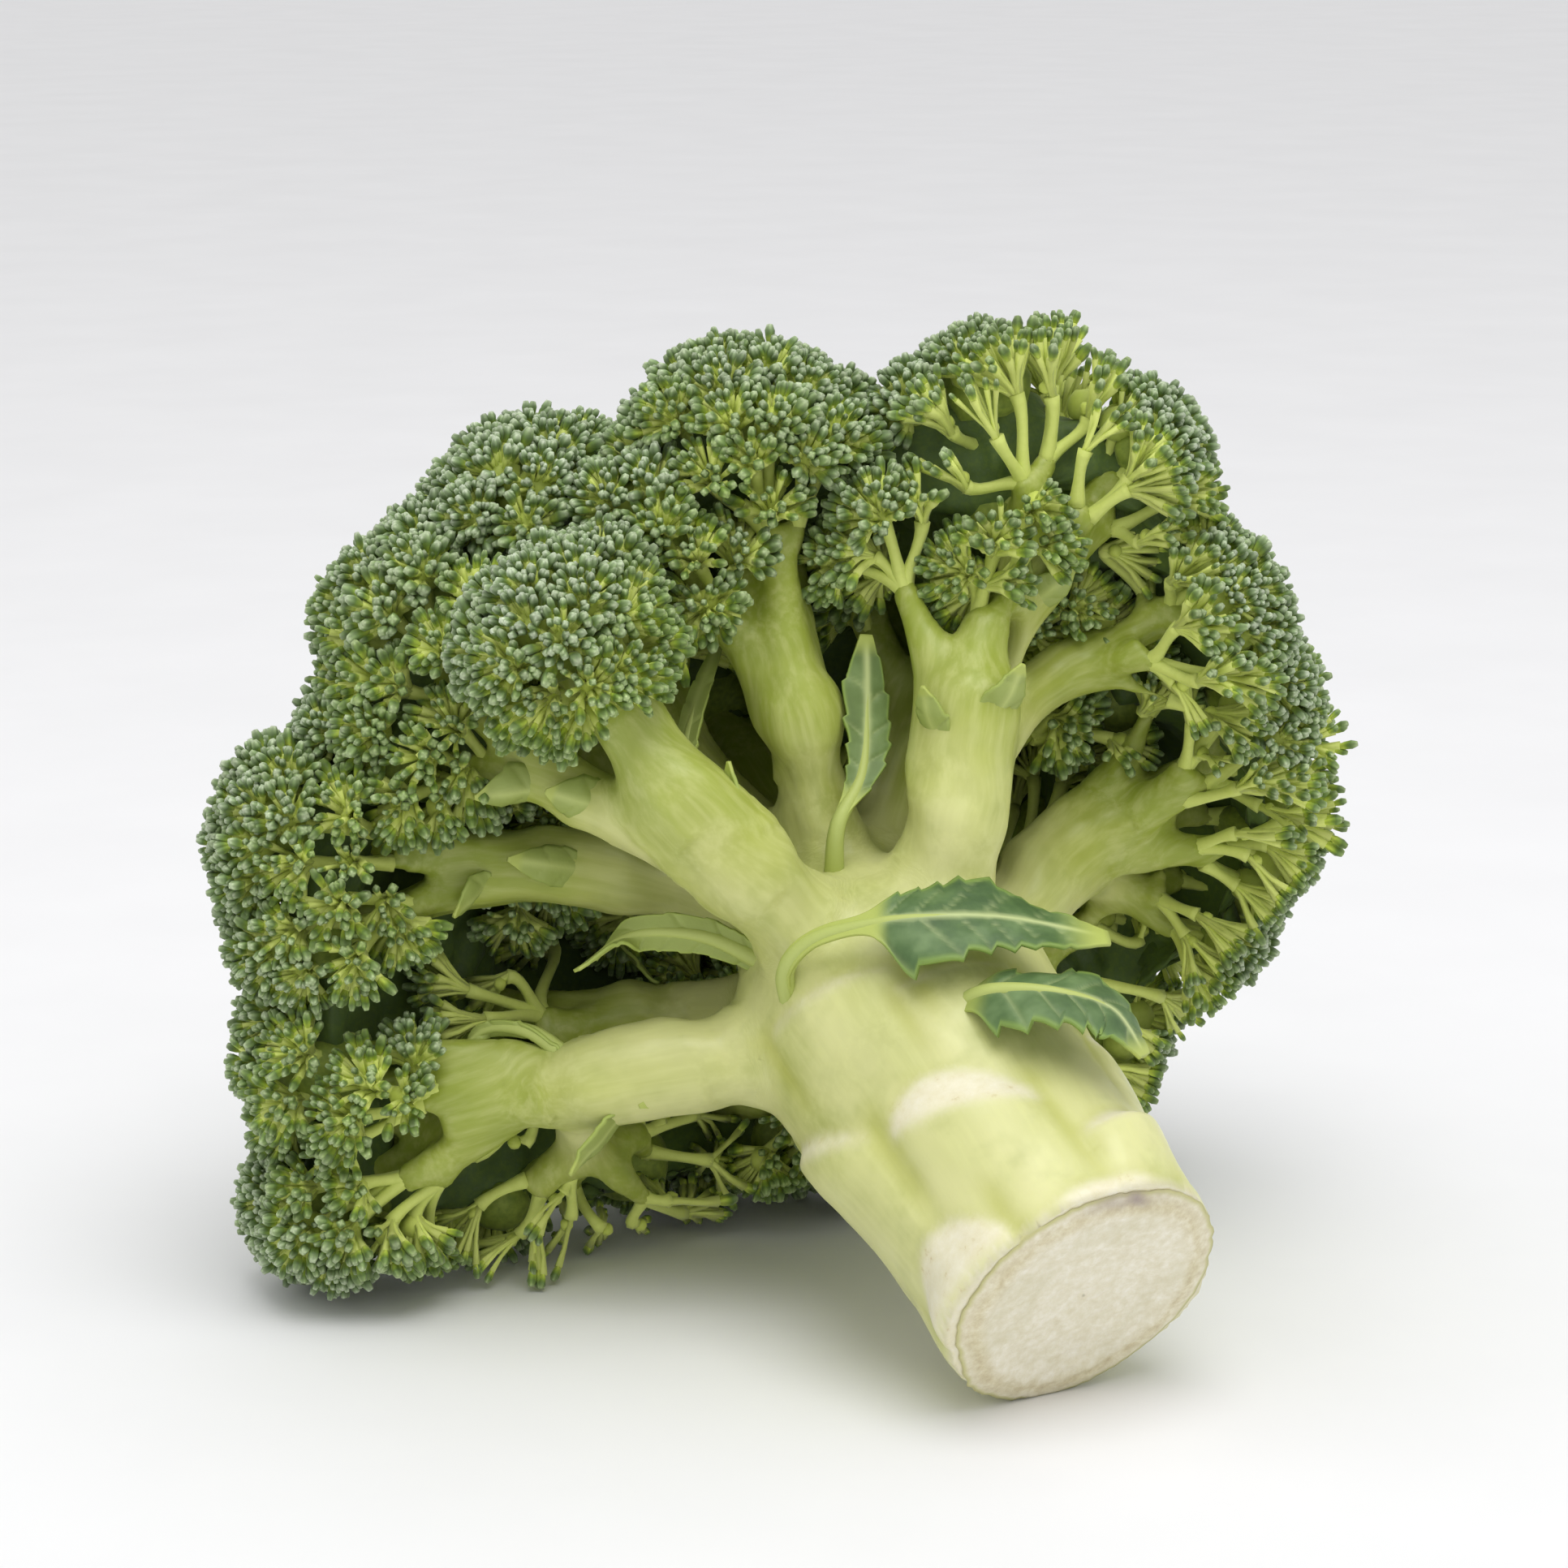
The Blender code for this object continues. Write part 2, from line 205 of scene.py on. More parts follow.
def cad_mesh(node):
    """Points in millimetres and triangles of a CAD node, with the corners of its faces made one."""
    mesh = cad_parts[node].data
    mesh.calc_loop_triangles()
    points = read(mesh.vertices, "co", 3) / MM
    triangles = read(mesh.loop_triangles, "vertices", 3, int)
    _, first, index = np.unique(np.round(points, 3), axis=0, return_index=True, return_inverse=True)
    return points[first], index.reshape(-1)[triangles]


NODES = sorted(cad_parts)
CAD = {node: cad_mesh(node) for node in NODES}
STEMS = [node for node in NODES if node.startswith("stem_")]
HEADS = [node for node in NODES if node.startswith("buds_")]


def cut_centre():
    """The middle of the stalk's lowest ring of points."""
    points = CAD["stalk"][0]
    height = points @ UP_AXIS
    return points[height < height.min() + 0.1].mean(axis=0)


CUT_CENTRE = cut_centre()


def point_normals(points, triangles):
    corners = points[triangles]
    across = np.cross(corners[:, 1] - corners[:, 0], corners[:, 2] - corners[:, 0])
    normals = np.zeros_like(points)
    for corner in range(3):
        np.add.at(normals, triangles[:, corner], across)
    return unit(normals)


def centre_line(node):
    """Seven middles and radii along a CAD solid, from its end nearest the stalk to its tip."""
    points = CAD[node][0]
    long_axis = np.linalg.svd(points - points.mean(axis=0), full_matrices=False)[2][0]
    if node == "stalk":
        long_axis = UP_AXIS
    elif dot(points.mean(axis=0) - CUT_CENTRE - FORK_HEIGHT * UP_AXIS, long_axis) < 0:
        long_axis = -long_axis
    place = points @ long_axis
    bounds = np.linspace(place.min(), place.max(), 8)
    middles, radii = [], []
    for low, high in zip(bounds[:-1], bounds[1:]):
        inside = (place >= low - 1) & (place <= high + 1)
        if inside.sum() < 4:
            inside = np.argsort(np.abs(place - (low + high) / 2))[:8]
        ring = points[inside]
        middle = box_middle(ring)
        across = ring - middle
        across = across - (across @ long_axis)[:, None] * long_axis
        middles.append(middle)
        radii.append(length(across).mean())
    return np.array(middles), np.array(radii)


LINES = {node: centre_line(node) for node in ["stalk", *STEMS]}


def floret_of(head):
    """The stem that carries a bud head."""
    return "stem_" + head[len("buds_"):].rsplit("_", 1)[0]


# Meshes and pieces


def above_floor(points):
    """The points, with those under the floor lifted onto it, as the head's weight presses it flat."""
    return np.column_stack([points[:, :2], np.maximum(points[:, 2], 0.05)])


def new_object(name, data):
    made = bpy.data.objects.new(name, data)
    bpy.context.scene.collection.objects.link(made)
    return made


def mesh_object(name, points, faces, material, attributes=None):
    """A smooth object from points in millimetres and faces that all have the same number of corners."""
    mesh = bpy.data.meshes.new(name)
    corners = faces.shape[1]
    mesh.vertices.add(len(points))
    mesh.vertices.foreach_set("co", (points * MM).astype(np.float32).ravel())
    mesh.loops.add(len(faces) * corners)
    mesh.loops.foreach_set("vertex_index", faces.astype(np.int32).ravel())
    mesh.polygons.add(len(faces))
    mesh.polygons.foreach_set("loop_start", np.arange(0, len(faces) * corners, corners, dtype=np.int32))
    for label, values in (attributes or {}).items():
        kind = "FLOAT" if values.ndim == 1 else "FLOAT_VECTOR"
        field = "value" if values.ndim == 1 else "vector"
        mesh.attributes.new(label, kind, "POINT").data.foreach_set(field, values.astype(np.float32).ravel())
    mesh.update(calc_edges=True)
    mesh.validate()
    mesh.shade_smooth()
    mesh.materials.append(material)
    return new_object(name, mesh)


def piece(made, replaced=()):
    """The object becomes a piece of the broccoli that stands for some CAD nodes."""
    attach(made, "root")
    if replaced:
        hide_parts(*replaced)


def ball():
    """A round closed mesh, one in radius, as points and triangles."""
    shape = bmesh.new()
    bmesh.ops.create_icosphere(shape, subdivisions=2, radius=1)
    points = np.array([vertex.co[:] for vertex in shape.verts])
    triangles = np.array([[vertex.index for vertex in face.verts] for face in shape.faces])
    shape.free()
    return points, triangles


BALL_POINTS, BALL_TRIANGLES = ball()


class Batch:
    """Many shapes that become one mesh: their points, triangles and values at the points."""

    def __init__(self):
        self.points, self.triangles, self.values, self.count = [], [], {}, 0

    def add(self, points, triangles, **values):
        """Adds points (point, xyz) or (shape, point, xyz), with values that fit their first axes."""
        for label, value in values.items():
            self.values.setdefault(label, []).append(np.broadcast_to(value, points.shape[:-1]).ravel())
        self.points.append(points.reshape(-1, 3))
        self.triangles.append(triangles + self.count)
        self.count += len(self.points[-1])

    def object(self, name, material):
        values = {label: np.concatenate(parts) for label, parts in self.values.items()}
        return mesh_object(name, np.vstack(self.points), np.vstack(self.triangles), material, values)


def halved(quads):
    """Each quad as two triangles."""
    return quads[:, [0, 1, 2, 0, 2, 3]].reshape(-1, 3)


def closed_strips(rings, sides):
    """Quads between neighbouring rings of points, where each ring closes on itself."""
    place = np.arange(rings * sides).reshape(rings, sides)
    after = np.roll(place, -1, axis=1)
    return np.stack([place[:-1], after[:-1], after[1:], place[1:]], axis=-1).reshape(-1, 4)


def repeated(triangles, point_count, copies):
    """The triangles of a shape for each of its copies, whose points follow each other."""
    steps = np.arange(copies)[:, None, None] * point_count
    return (triangles[None] + steps).reshape(-1, 3)


def frames_along(directions, turns):
    """Right-angled frames whose Z is each direction, turned about it."""
    helper = np.where(np.abs(directions[:, 2:]) < 0.9, [[0, 0, 1.0]], [[1.0, 0, 0]])
    side = unit(np.cross(helper, directions))
    cross = np.cross(directions, side)
    first = np.cos(turns)[:, None] * side + np.sin(turns)[:, None] * cross
    return np.stack([first, np.cross(directions, first), directions], axis=1)


def tubes(paths, radii, sides):
    """Tubes with closed ends along paths (tube, ring, xyz), with a radius at each ring."""
    count, rings = paths.shape[:2]
    tangents = unit(np.gradient(paths, axis=1))
    helper = frames_along(unit(paths[:, -1] - paths[:, 0]), np.zeros(count))[:, 0]
    side = unit(helper[:, None] - dot(helper[:, None], tangents)[..., None] * tangents)
    cross = np.cross(tangents, side)
    turns = np.linspace(0, 2 * math.pi, sides, endpoint=False)
    spokes = np.cos(turns)[:, None] * side[:, :, None] + np.sin(turns)[:, None] * cross[:, :, None]
    points = paths[:, :, None] + radii[:, :, None, None] * spokes
    fan = np.arange(1, sides - 1)
    foot = np.stack([0 * fan, fan + 1, fan], axis=-1)
    tip = np.stack([0 * fan, fan, fan + 1], axis=-1) + (rings - 1) * sides
    triangles = np.vstack([halved(closed_strips(rings, sides)), foot, tip])
    return points.reshape(count, -1, 3), repeated(triangles, rings * sides, count)


def bent_paths(starts, start_ways, ends, end_ways, rings, bend=0.4):
    """Paths (..., ring, xyz) from starts to ends that leave and arrive along the given directions."""
    reach = np.linalg.norm(ends - starts, axis=-1, keepdims=True) * bend
    handles = [starts, starts + reach * start_ways, ends - reach * end_ways, ends]
    share = np.linspace(0, 1, rings)[:, None]
    weights = [(1 - share) ** 3, 3 * share * (1 - share) ** 2, 3 * share**2 * (1 - share), share**3]
    return sum(weight * handle[..., None, :] for weight, handle in zip(weights, handles))


# Materials


def colour(red, green, blue):
    """A colour picked on screen, 0 to 255, as the linear colour that a shader takes."""
    shares = np.array((red, green, blue)) / 255
    linear = np.where(shares <= 0.04045, shares / 12.92, ((shares + 0.055) / 1.055) ** 2.4)
    return (*linear.tolist(), 1.0)


def shader_node(tree, kind, inputs=None, **settings):
    """Adds a node. An input is a value, or another node's output to link."""
    made = tree.nodes.new("ShaderNode" + kind)
    for label, value in settings.items():
        setattr(made, label, value)
    for socket, value in (inputs or {}).items():
        if isinstance(value, bpy.types.NodeSocket):
            tree.links.new(value, made.inputs[socket])
        else:
            made.inputs[socket].default_value = value
    return made


def new_material(name, roughness, specular):
    """A new (material, node tree, shader, place on the object)."""
    made = bpy.data.materials.new(name)
    made.use_nodes = True
    tree = made.node_tree
    shader = tree.nodes["Principled BSDF"]
    shader.inputs["Roughness"].default_value = roughness
    shader.inputs["Specular IOR Level"].default_value = specular
    return made, tree, shader, shader_node(tree, "TexCoord").outputs["Object"]


def attribute(tree, name, output="Fac"):
    return shader_node(tree, "Attribute", attribute_name=name).outputs[output]


def grain(tree, place, size, detail=3.0, roughness=0.55):
    """Noise from 0 to 1 whose lumps are about size millimetres across."""
    inputs = {"Vector": place, "Scale": 1 / (size * MM), "Detail": detail, "Roughness": roughness}
    return shader_node(tree, "TexNoise", inputs).outputs["Fac"]


def maths(tree, operation, *values):
    return shader_node(tree, "Math", dict(enumerate(values)), operation=operation).outputs[0]


def remap(tree, value, low, high, to_low=0.0, to_high=1.0):
    inputs = {"Value": value, "From Min": low, "From Max": high, "To Min": to_low, "To Max": to_high}
    return shader_node(tree, "MapRange", inputs, interpolation_type="SMOOTHSTEP").outputs[0]


def ramp(tree, value, *stops):
    """A colour ramp through (position, red, green, blue) stops."""
    made = shader_node(tree, "ValToRGB", {"Fac": value})
    elements = made.color_ramp.elements
    while len(elements) < len(stops):
        elements.new(1.0)
    for element, (position, *shade) in zip(elements, stops):
        element.position = position
        element.color = colour(*shade)
    return made.outputs["Color"]


def layered(tree, base, *layers):
    """The base colour with (share, colour) layers over it."""
    for share, shade in layers:
        base = shader_node(tree, "Mix", {0: share, 6: base, 7: shade}, data_type="RGBA").outputs[2]
    return base


def paint(tree, shader, base, relief, strength, depth):
    """Gives a shader its colour, and bumps from a relief that is that many millimetres deep."""
    tree.links.new(base, shader.inputs["Base Color"])
    inputs = {"Height": relief, "Strength": strength, "Distance": depth * MM}
    tree.links.new(shader_node(tree, "Bump", inputs).outputs["Normal"], shader.inputs["Normal"])


def flower_material():
    """Pedicels are yellow-green, and a bud goes from that to dark green and to a grey waxy tip, whose palest
    top is partly a painted highlight. Painted shade darkens the sepal grooves and a painted highlight
    lightens their ridges.
    """
    made, tree, shader, place = new_material("flower_buds", 0.55, 0.35)
    along = maths(tree, "SUBTRACT", attribute(tree, "along"), 0.15)
    height = maths(tree, "MULTIPLY_ADD", grain(tree, place, 1.1), 0.3, along)
    # The pale grey top of each ramp is the buds' waxy bloom and partly a painted highlight on their tips.
    waxy = ramp(
        tree, height,
        (0.0, 208, 220, 118), (0.28, 180, 196, 88), (0.45, 122, 146, 64),
        (0.62, 96, 122, 68), (0.84, 148, 168, 126), (1.0, 204, 215, 188),
    )
    lush = ramp(
        tree, height,
        (0.0, 228, 238, 132), (0.36, 212, 228, 92), (0.54, 156, 182, 56),
        (0.7, 94, 122, 40), (0.88, 120, 146, 62), (1.0, 168, 189, 116),
    )
    shade = remap(tree, attribute(tree, "shade"), 0.0, 1.0, 0.72, 1.2)
    # Painted shade in the grooves between sepals and painted highlight on their ridges, over grooves the buds
    # already have.
    ridge = remap(tree, attribute(tree, "ridge"), 0.0, 1.0, 0.78, 1.16)
    base = shader_node(tree, "HueSaturation", {
        "Color": layered(tree, waxy, (attribute(tree, "fresh"), lush)),
        "Value": maths(tree, "MULTIPLY", shade, ridge),
    }).outputs["Color"]
    paint(tree, shader, base, grain(tree, place, 0.5), 0.25, 0.12)
    shader.inputs["Sheen Weight"].default_value = 0.12
    return made


def stem_material():
    """Pale waxy green, lighter near the cut, with long streaks, darker patches and dry scars."""
    made, tree, shader, place = new_material("stalk_skin", 0.42, 0.4)
    metres = {0: attribute(tree, "streak", "Vector"), 1: (MM, MM, MM)}
    streaks = shader_node(tree, "VectorMath", metres, operation="MULTIPLY").outputs[0]
    dry = ramp(
        tree, grain(tree, place, 2.6, 4.0, 0.7),
        (0.28, 214, 200, 158), (0.38, 232, 225, 192), (0.7, 241, 236, 212),
    )
    base = layered(
        tree,
        ramp(tree, grain(tree, place, 26), (0.3, 152, 164, 62), (0.5, 176, 184, 86), (0.7, 206, 211, 128)),
        (attribute(tree, "pale"), colour(230, 228, 170)),
        # Greener and darker towards the stem tips: partly their own colour, partly painted shade deep in the
        # crown.
        (attribute(tree, "lush"), colour(152, 168, 60)),
        (remap(tree, grain(tree, place, 9), 0.45, 0.75, 0.0, 0.3), colour(138, 152, 50)),
        (remap(tree, grain(tree, streaks, 1.4), 0.35, 0.75, 0.0, 0.28), colour(226, 228, 160)),
        (maths(tree, "MULTIPLY", attribute(tree, "crease"), 0.55), colour(176, 180, 62)),
        (attribute(tree, "crescent"), dry),
    )
    relief = maths(tree, "MULTIPLY_ADD", grain(tree, place, 1.2), 0.35, grain(tree, streaks, 2.2))
    paint(tree, shader, base, relief, 0.25, 0.2)
    gloss = remap(tree, grain(tree, place, 5), 0.3, 0.7, 0.3, 0.46)
    tree.links.new(gloss, shader.inputs["Roughness"])
    shader.inputs["Subsurface Weight"].default_value = 0.12
    shader.inputs["Subsurface Radius"].default_value = (1.0, 1.0, 0.4)
    shader.inputs["Subsurface Scale"].default_value = 1.5 * MM
    return made


def cut_material():
    """The cut across the stalk: moist granular pith inside a fibrous ring and a green skin."""
    made, tree, shader, place = new_material("cut_face", 0.5, 0.35)
    rim = attribute(tree, "rim")
    cells = grain(tree, place, 1.6, 4.0, 0.65)
    fibres = ramp(tree, cells, (0.3, 186, 166, 118), (0.5, 211, 198, 152), (0.7, 232, 224, 188))
    base = layered(
        tree,
        ramp(tree, cells, (0.25, 224, 216, 186), (0.48, 235, 229, 205), (0.72, 248, 244, 228)),
        (remap(tree, grain(tree, place, 9), 0.45, 0.75, 0.0, 0.35), colour(208, 202, 164)),
        (ramp(tree, rim, (0.76, 0, 0, 0), (0.86, 200, 200, 200), (0.97, 120, 120, 120)), fibres),
        (remap(tree, rim, 0.95, 0.99), colour(206, 202, 146)),
        (attribute(tree, "bruise"), colour(158, 142, 136)),
    )
    paint(tree, shader, base, cells, 0.3, 0.4)
    return made


def leaf_material():
    """A blue-green waxy blade with pale veins, lighter and yellower along its edge."""
    made, tree, shader, place = new_material("leaf_blade", 0.5, 0.4)
    base = layered(
        tree,
        ramp(tree, grain(tree, place, 7), (0.3, 62, 90, 50), (0.5, 86, 114, 66), (0.72, 116, 142, 92)),
        (attribute(tree, "edge"), colour(142, 170, 78)),
        (attribute(tree, "vein"), colour(196, 208, 146)),
        (attribute(tree, "petiole"), colour(182, 194, 100)),
    )
    paint(tree, shader, base, grain(tree, place, 1.0), 0.3, 0.2)
    return made


def floor_material():
    made, tree, shader, place = new_material("pale_floor", 0.7, 0.2)
    tone = ramp(tree, grain(tree, place, 60), (0.3, 236, 236, 237), (0.7, 239, 239, 240))
    tree.links.new(tone, shader.inputs["Base Color"])
    return made


# The skin of the stalk and its stems


def inflated(points, triangles, extra):
    return points + extra * point_normals(points, triangles)


def voxel_mesh(batch, voxel):
    """One closed quad surface round all the shapes of a batch, as points, edges and quads."""
    rough = batch.object("rough", bpy.data.materials.new("rough"))
    remesh = rough.modifiers.new("one_surface", "REMESH")
    remesh.mode = "VOXEL"
    remesh.voxel_size = voxel * MM
    graph = bpy.context.evaluated_depsgraph_get()
    mesh = bpy.data.meshes.new_from_object(rough.evaluated_get(graph))
    bpy.data.objects.remove(rough)
    quads = read(mesh.loops, "vertex_index", 1, int).reshape(-1, 4)
    return read(mesh.vertices, "co", 3) / MM, read(mesh.edges, "vertices", 2, int), quads


def tapered_stem(node):
    """A stem's CAD points drawn in towards its middle near the tip, where its limbs part."""
    points, triangles = CAD[node]
    line = curve_through(LINES[node][0], LINE_STEPS)
    nearest = np.argmin(length(points[:, None] - line), axis=1)
    pull = 0.6 * smooth_step(nearest / (LINE_STEPS - 1), FORK_PLACE, 0.92)[:, None]
    return inflated(points, triangles, SKIN_INFLATE) * (1 - pull) + line[nearest] * pull, triangles


def voxel_skin(limbs):
    """The stalk, all stems and their limbs as one closed quad surface."""
    batch = Batch()
    points, triangles = CAD["stalk"]
    batch.add(inflated(points, triangles, SKIN_INFLATE), triangles)
    for node in STEMS:
        batch.add(*tapered_stem(node))
    for path, radii in limbs:
        batch.add(*tubes(path[None], radii[None], 10))
    return voxel_mesh(batch, SKIN_VOXEL)


def neighbour_mean(values, edges):
    """For each point, the mean of its neighbours' values."""
    ends = np.concatenate([edges, edges[:, ::-1]])
    count = np.bincount(ends[:, 0], minlength=len(values))
    sums = [np.bincount(ends[:, 0], column, minlength=len(values)) for column in values[ends[:, 1]].T]
    return np.stack(sums, axis=1) / np.maximum(count, 1)[:, None]


def smoothed(values, edges, steps, share=0.5):
    for _ in range(steps):
        values = values + share * (neighbour_mean(values, edges) - values)
    return values


def quad_normals(points, quads):
    return point_normals(points, halved(quads))


def stem_places(points):
    """For each point: the nearest stem's number, the share along it and its streak place."""
    nearest = np.full(len(points), np.inf)
    found = np.zeros((len(points), 5))
    for number, (middles, radii) in enumerate(LINES.values()):
        travelled = lengths_along(middles)
        for step, run in enumerate(np.diff(middles, axis=0)):
            share = np.clip((points - middles[step]) @ run / (run @ run), 0, 1)
            across = points - middles[step] - share[:, None] * run
            gap = length(across) - (radii[step] + share * (radii[step + 1] - radii[step]))
            place = travelled[step] + share * (travelled[step + 1] - travelled[step])
            streak = across + 0.1 * place[:, None] * unit(run)
            closer = gap < nearest
            nearest[closer] = gap[closer]
            numbers = np.full(len(points), number)
            found[closer] = np.column_stack([numbers, place / travelled[-1], streak])[closer]
    return found[:, 0], found[:, 1], found[:, 2:]


# Where leaves were cut off: (up, azimuth, half width, slant, crescent, rise, fall). The cut is a
# pale crescent at the top of a raised shield that falls away towards the stalk's cut.
LEAF_BASES = (
    (24, 127, 11.5, 0.36, 7.5, 1.9, 26),
    (39, 190, 10.5, 0.75, 3.0, 3.2, 30),
    (46.5, 100, 9.5, 0.1, 1.2, 1.6, 20),
    (-1.5, 97, 13.0, 0.0, 4.5, 2.0, 10),
    (2, 168, 12.0, 0.0, 10.0, 2.2, 10),
    (13, 70, 8.5, -0.2, 3.0, 3.6, 16),
    (55, 148, 12.0, 0.3, 1.2, 1.3, 22),
    (30, 20, 12.0, 0.3, 5.5, 1.8, 24),
    (8, 342, 11.0, -0.2, 5.5, 1.8, 12),
    (44, 318, 11.0, 0.2, 5.5, 1.8, 24),
    (22, 268, 11.5, 0.2, 6.0, 1.8, 22),
    (58, 56, 11.0, -0.2, 3.0, 1.5, 22),
    (56, 250, 11.0, 0.2, 4.0, 1.5, 22),
)


def leaf_base_relief(up, azimuth, out):
    """(displacement, crescent, crease) of the cut leaf bases at places of the stalk's surface."""
    lift, crescent, crease = np.zeros(len(up)), np.zeros(len(up)), np.zeros(len(up))
    on_stalk = smooth_step(out, 34, 28)
    for base_up, base_azimuth, half_width, slant, tall, rise, fall in LEAF_BASES:
        arc = np.radians(turn_between(base_azimuth, azimuth)) * STALK_RADIUS
        aside = arc / half_width
        arch = np.clip(1 - aside**2, 0, 1) ** 0.75
        low = base_up + slant * arc
        above = up - low
        share = np.clip(1 - above / np.maximum(tall * arch, 0.3), 0, 1)
        below = smooth_step(above, -fall, -0.1 * fall)
        shield = np.where(above > 0, share, below) * arch
        fringe = smooth_step(above, -0.8 * fall, -0.2 * fall) * smooth_step(above, tall + 2.5, tall * 0.5)
        groove = np.exp(-(((np.abs(aside) - 1.06) / 0.13) ** 2)) * fringe
        top_line = np.exp(-(((above - tall * arch - 0.5) / 0.8) ** 2)) * (np.abs(aside) < 1)
        lift += on_stalk * (rise * shield - 0.35 * groove)
        inside = smooth_step(above, -0.35, 0.35) * smooth_step(above, tall * arch + 0.4, tall * arch - 0.5)
        crescent = np.maximum(crescent, on_stalk * inside * (np.abs(aside) < 0.99))
        crease = np.maximum(crease, on_stalk * np.maximum(groove, 0.8 * top_line))
    return lift, crescent, crease


def junction_ribs(up, azimuth, out):
    """Low ribs that run down the stalk from where each main stem leaves it."""
    lift = np.zeros(len(up))
    for node in STEMS:
        middles, radii = LINES[node]
        foot_up, foot_azimuth, foot_out = (value[0] for value in growth_of(middles[:1]))
        if foot_out > 30:
            continue
        width = radii[0]
        sideways = np.radians(turn_between(foot_azimuth, azimuth)) * out
        fade = smooth_step(up, foot_up - 34, foot_up - 4)
        lift += 0.7 * fade * (np.exp(-((sideways / width) ** 2)) - 0.35)
    return lift * smooth_step(out, 34, 27) * smooth_step(out, 8, 16)


def skin_values(points, edges, up, owner, along, streak):
    """How pale and how lush the skin is at its points, and their streak places, all smoothed."""
    on_stalk = owner == 0
    pale = np.where(on_stalk, 0.85 - 0.006 * up, 0.5 * smooth_step(along, 0.75, 0.05))
    # Stems turn greener and darker towards their tips: partly their own colour, partly painted shade where
    # they run into the crown.
    lush = np.where(on_stalk, 0.0, 0.7 * smooth_step(along, 0.3, 1.0))
    levels = np.stack([pale + 0.2 * wavy(streak, 10, 14), lush + 0.15 * wavy(points, 12, 15)], axis=1)
    pale, lush = np.clip(smoothed(levels, edges, 8), 0, 1).T
    return {"pale": pale, "lush": lush, "streak": smoothed(streak, edges, 6)}


def stem_skin(material, limbs):
    """Makes the skin piece and returns its points and quads."""
    points, edges, quads = voxel_skin(limbs)
    points = smoothed(points, edges, SKIN_SMOOTHING)
    owner, along, streak = stem_places(points)
    thick = smooth_step(along, 0.7, 0.45) * smooth_step(growth_of(points)[0], 3, 10)
    points = points + thick[:, None] * (smoothed(points, edges, STEM_SMOOTHING) - points)
    up, azimuth, out = growth_of(points)
    relief = np.stack(leaf_base_relief(up, azimuth, out), axis=1)
    base_lift, crescent, crease = smoothed(relief, edges, RELIEF_SMOOTHING).T
    lumps = 0.25 * wavy(points, 20, 11) + 0.08 * wavy(points, 6, 12)
    cords = (0.3 * wavy(streak, 9, 13) + 0.1 * wavy(streak, 3.5, 16)) * (owner > 0)
    lift = junction_ribs(up, azimuth, out) + base_lift + (lumps + cords) * smooth_step(up, 0.8, 3.0) + 0.25
    points = points + lift[:, None] * quad_normals(points, quads)
    at_cut = up < CUT_DEPTH
    points = points - np.where(at_cut, growth_of(points)[0], 0.0)[:, None] * UP_AXIS
    points[at_cut & (out < STALK_RADIUS - 3.3)] += 1.2 * UP_AXIS
    values = skin_values(points, edges, up, owner, along, streak)
    values |= {"crescent": np.maximum(crescent, smooth_step(up, 2.2, 0.8)), "crease": crease}
    skin = mesh_object("stalk_and_stems", above_floor(points), quads, material, values)
    piece(skin, ["stalk", *STEMS])
    return points, quads


def cut_outline(turns):
    """How far the cut reaches from its middle at each turn, with a notch and a ragged edge."""
    up, azimuth, out = growth_of(CAD["stalk"][0])
    lowest = up < 0.1
    outline = np.interp(turns, azimuth[lowest], out[lowest], period=360)
    notch = 1.2 * np.exp(-((turn_between(205, turns) / 16) ** 2))
    ragged = 0.16 * np.random.default_rng(25).normal(0, 1, len(turns))
    return outline + 0.7 - notch + 0.25 * np.sin(np.radians(5 * turns)) + ragged


def cut_face(material):
    """A disc with a raised fibrous ring that closes the skin's open end."""
    rings, spokes = 46, 120
    turns = np.arange(spokes) * 360 / spokes
    outline = cut_outline(turns)
    share = np.linspace(0, 1, rings)[:, None] * np.ones(spokes)
    azimuth = turns * np.ones((rings, 1))
    flat = grown(0 * share, azimuth, share * outline).reshape(-1, 3)
    rim = share.ravel()
    ring_lift = 0.35 * np.exp(-((rim - 0.8) / 0.07) ** 2) - 0.3 * smooth_step(rim, 0.93, 1.0)
    rough = 0.14 * wavy(flat, 2.4, 21) + 0.2 * wavy(flat, 8, 22) + 0.12 * wavy(flat * (0.25, 1, 1), 1.6, 23)
    lift = 0.5 + ring_lift + rough * smooth_step(rim, 1.0, 0.9) - 0.5 * smooth_step(rim, 0.75, 0.2)
    front = flat - lift[:, None] * UP_AXIS
    back = grown(np.full(spokes, CUT_DEPTH), turns, outline - 1.2)
    points = np.vstack([front, back, grown(CUT_DEPTH, 0.0, 0.0)])
    last = rings * spokes + np.arange(spokes)
    lid = np.stack([last, np.roll(last, -1), np.full(spokes, len(points) - 1)], axis=-1)
    triangles = np.vstack([halved(closed_strips(rings + 1, spokes)), lid])
    bruise = np.exp(-((turn_between(88, azimuth.ravel()) / 15) ** 2)) * smooth_step(rim, 0.82, 0.93)
    bruise = np.clip(bruise * (0.6 + 0.4 * wavy(flat, 4, 24)), 0, 1)
    behind = np.ones(spokes + 1)
    values = {"rim": np.concatenate([rim, behind]), "bruise": np.concatenate([bruise, 0 * behind])}
    piece(mesh_object("cut_face", above_floor(points), triangles, material, values))


# Flower heads


def crown_shell(inflate, smoothing):
    """One smooth surface round all bud heads, each inflated, as points, edges and quads."""
    batch = Batch()
    for head in HEADS:
        points, triangles = CAD[head]
        batch.add(inflated(points, triangles, inflate), triangles)
    points, edges, quads = voxel_mesh(batch, CROWN_VOXEL)
    return smoothed(points, edges, smoothing), edges, quads


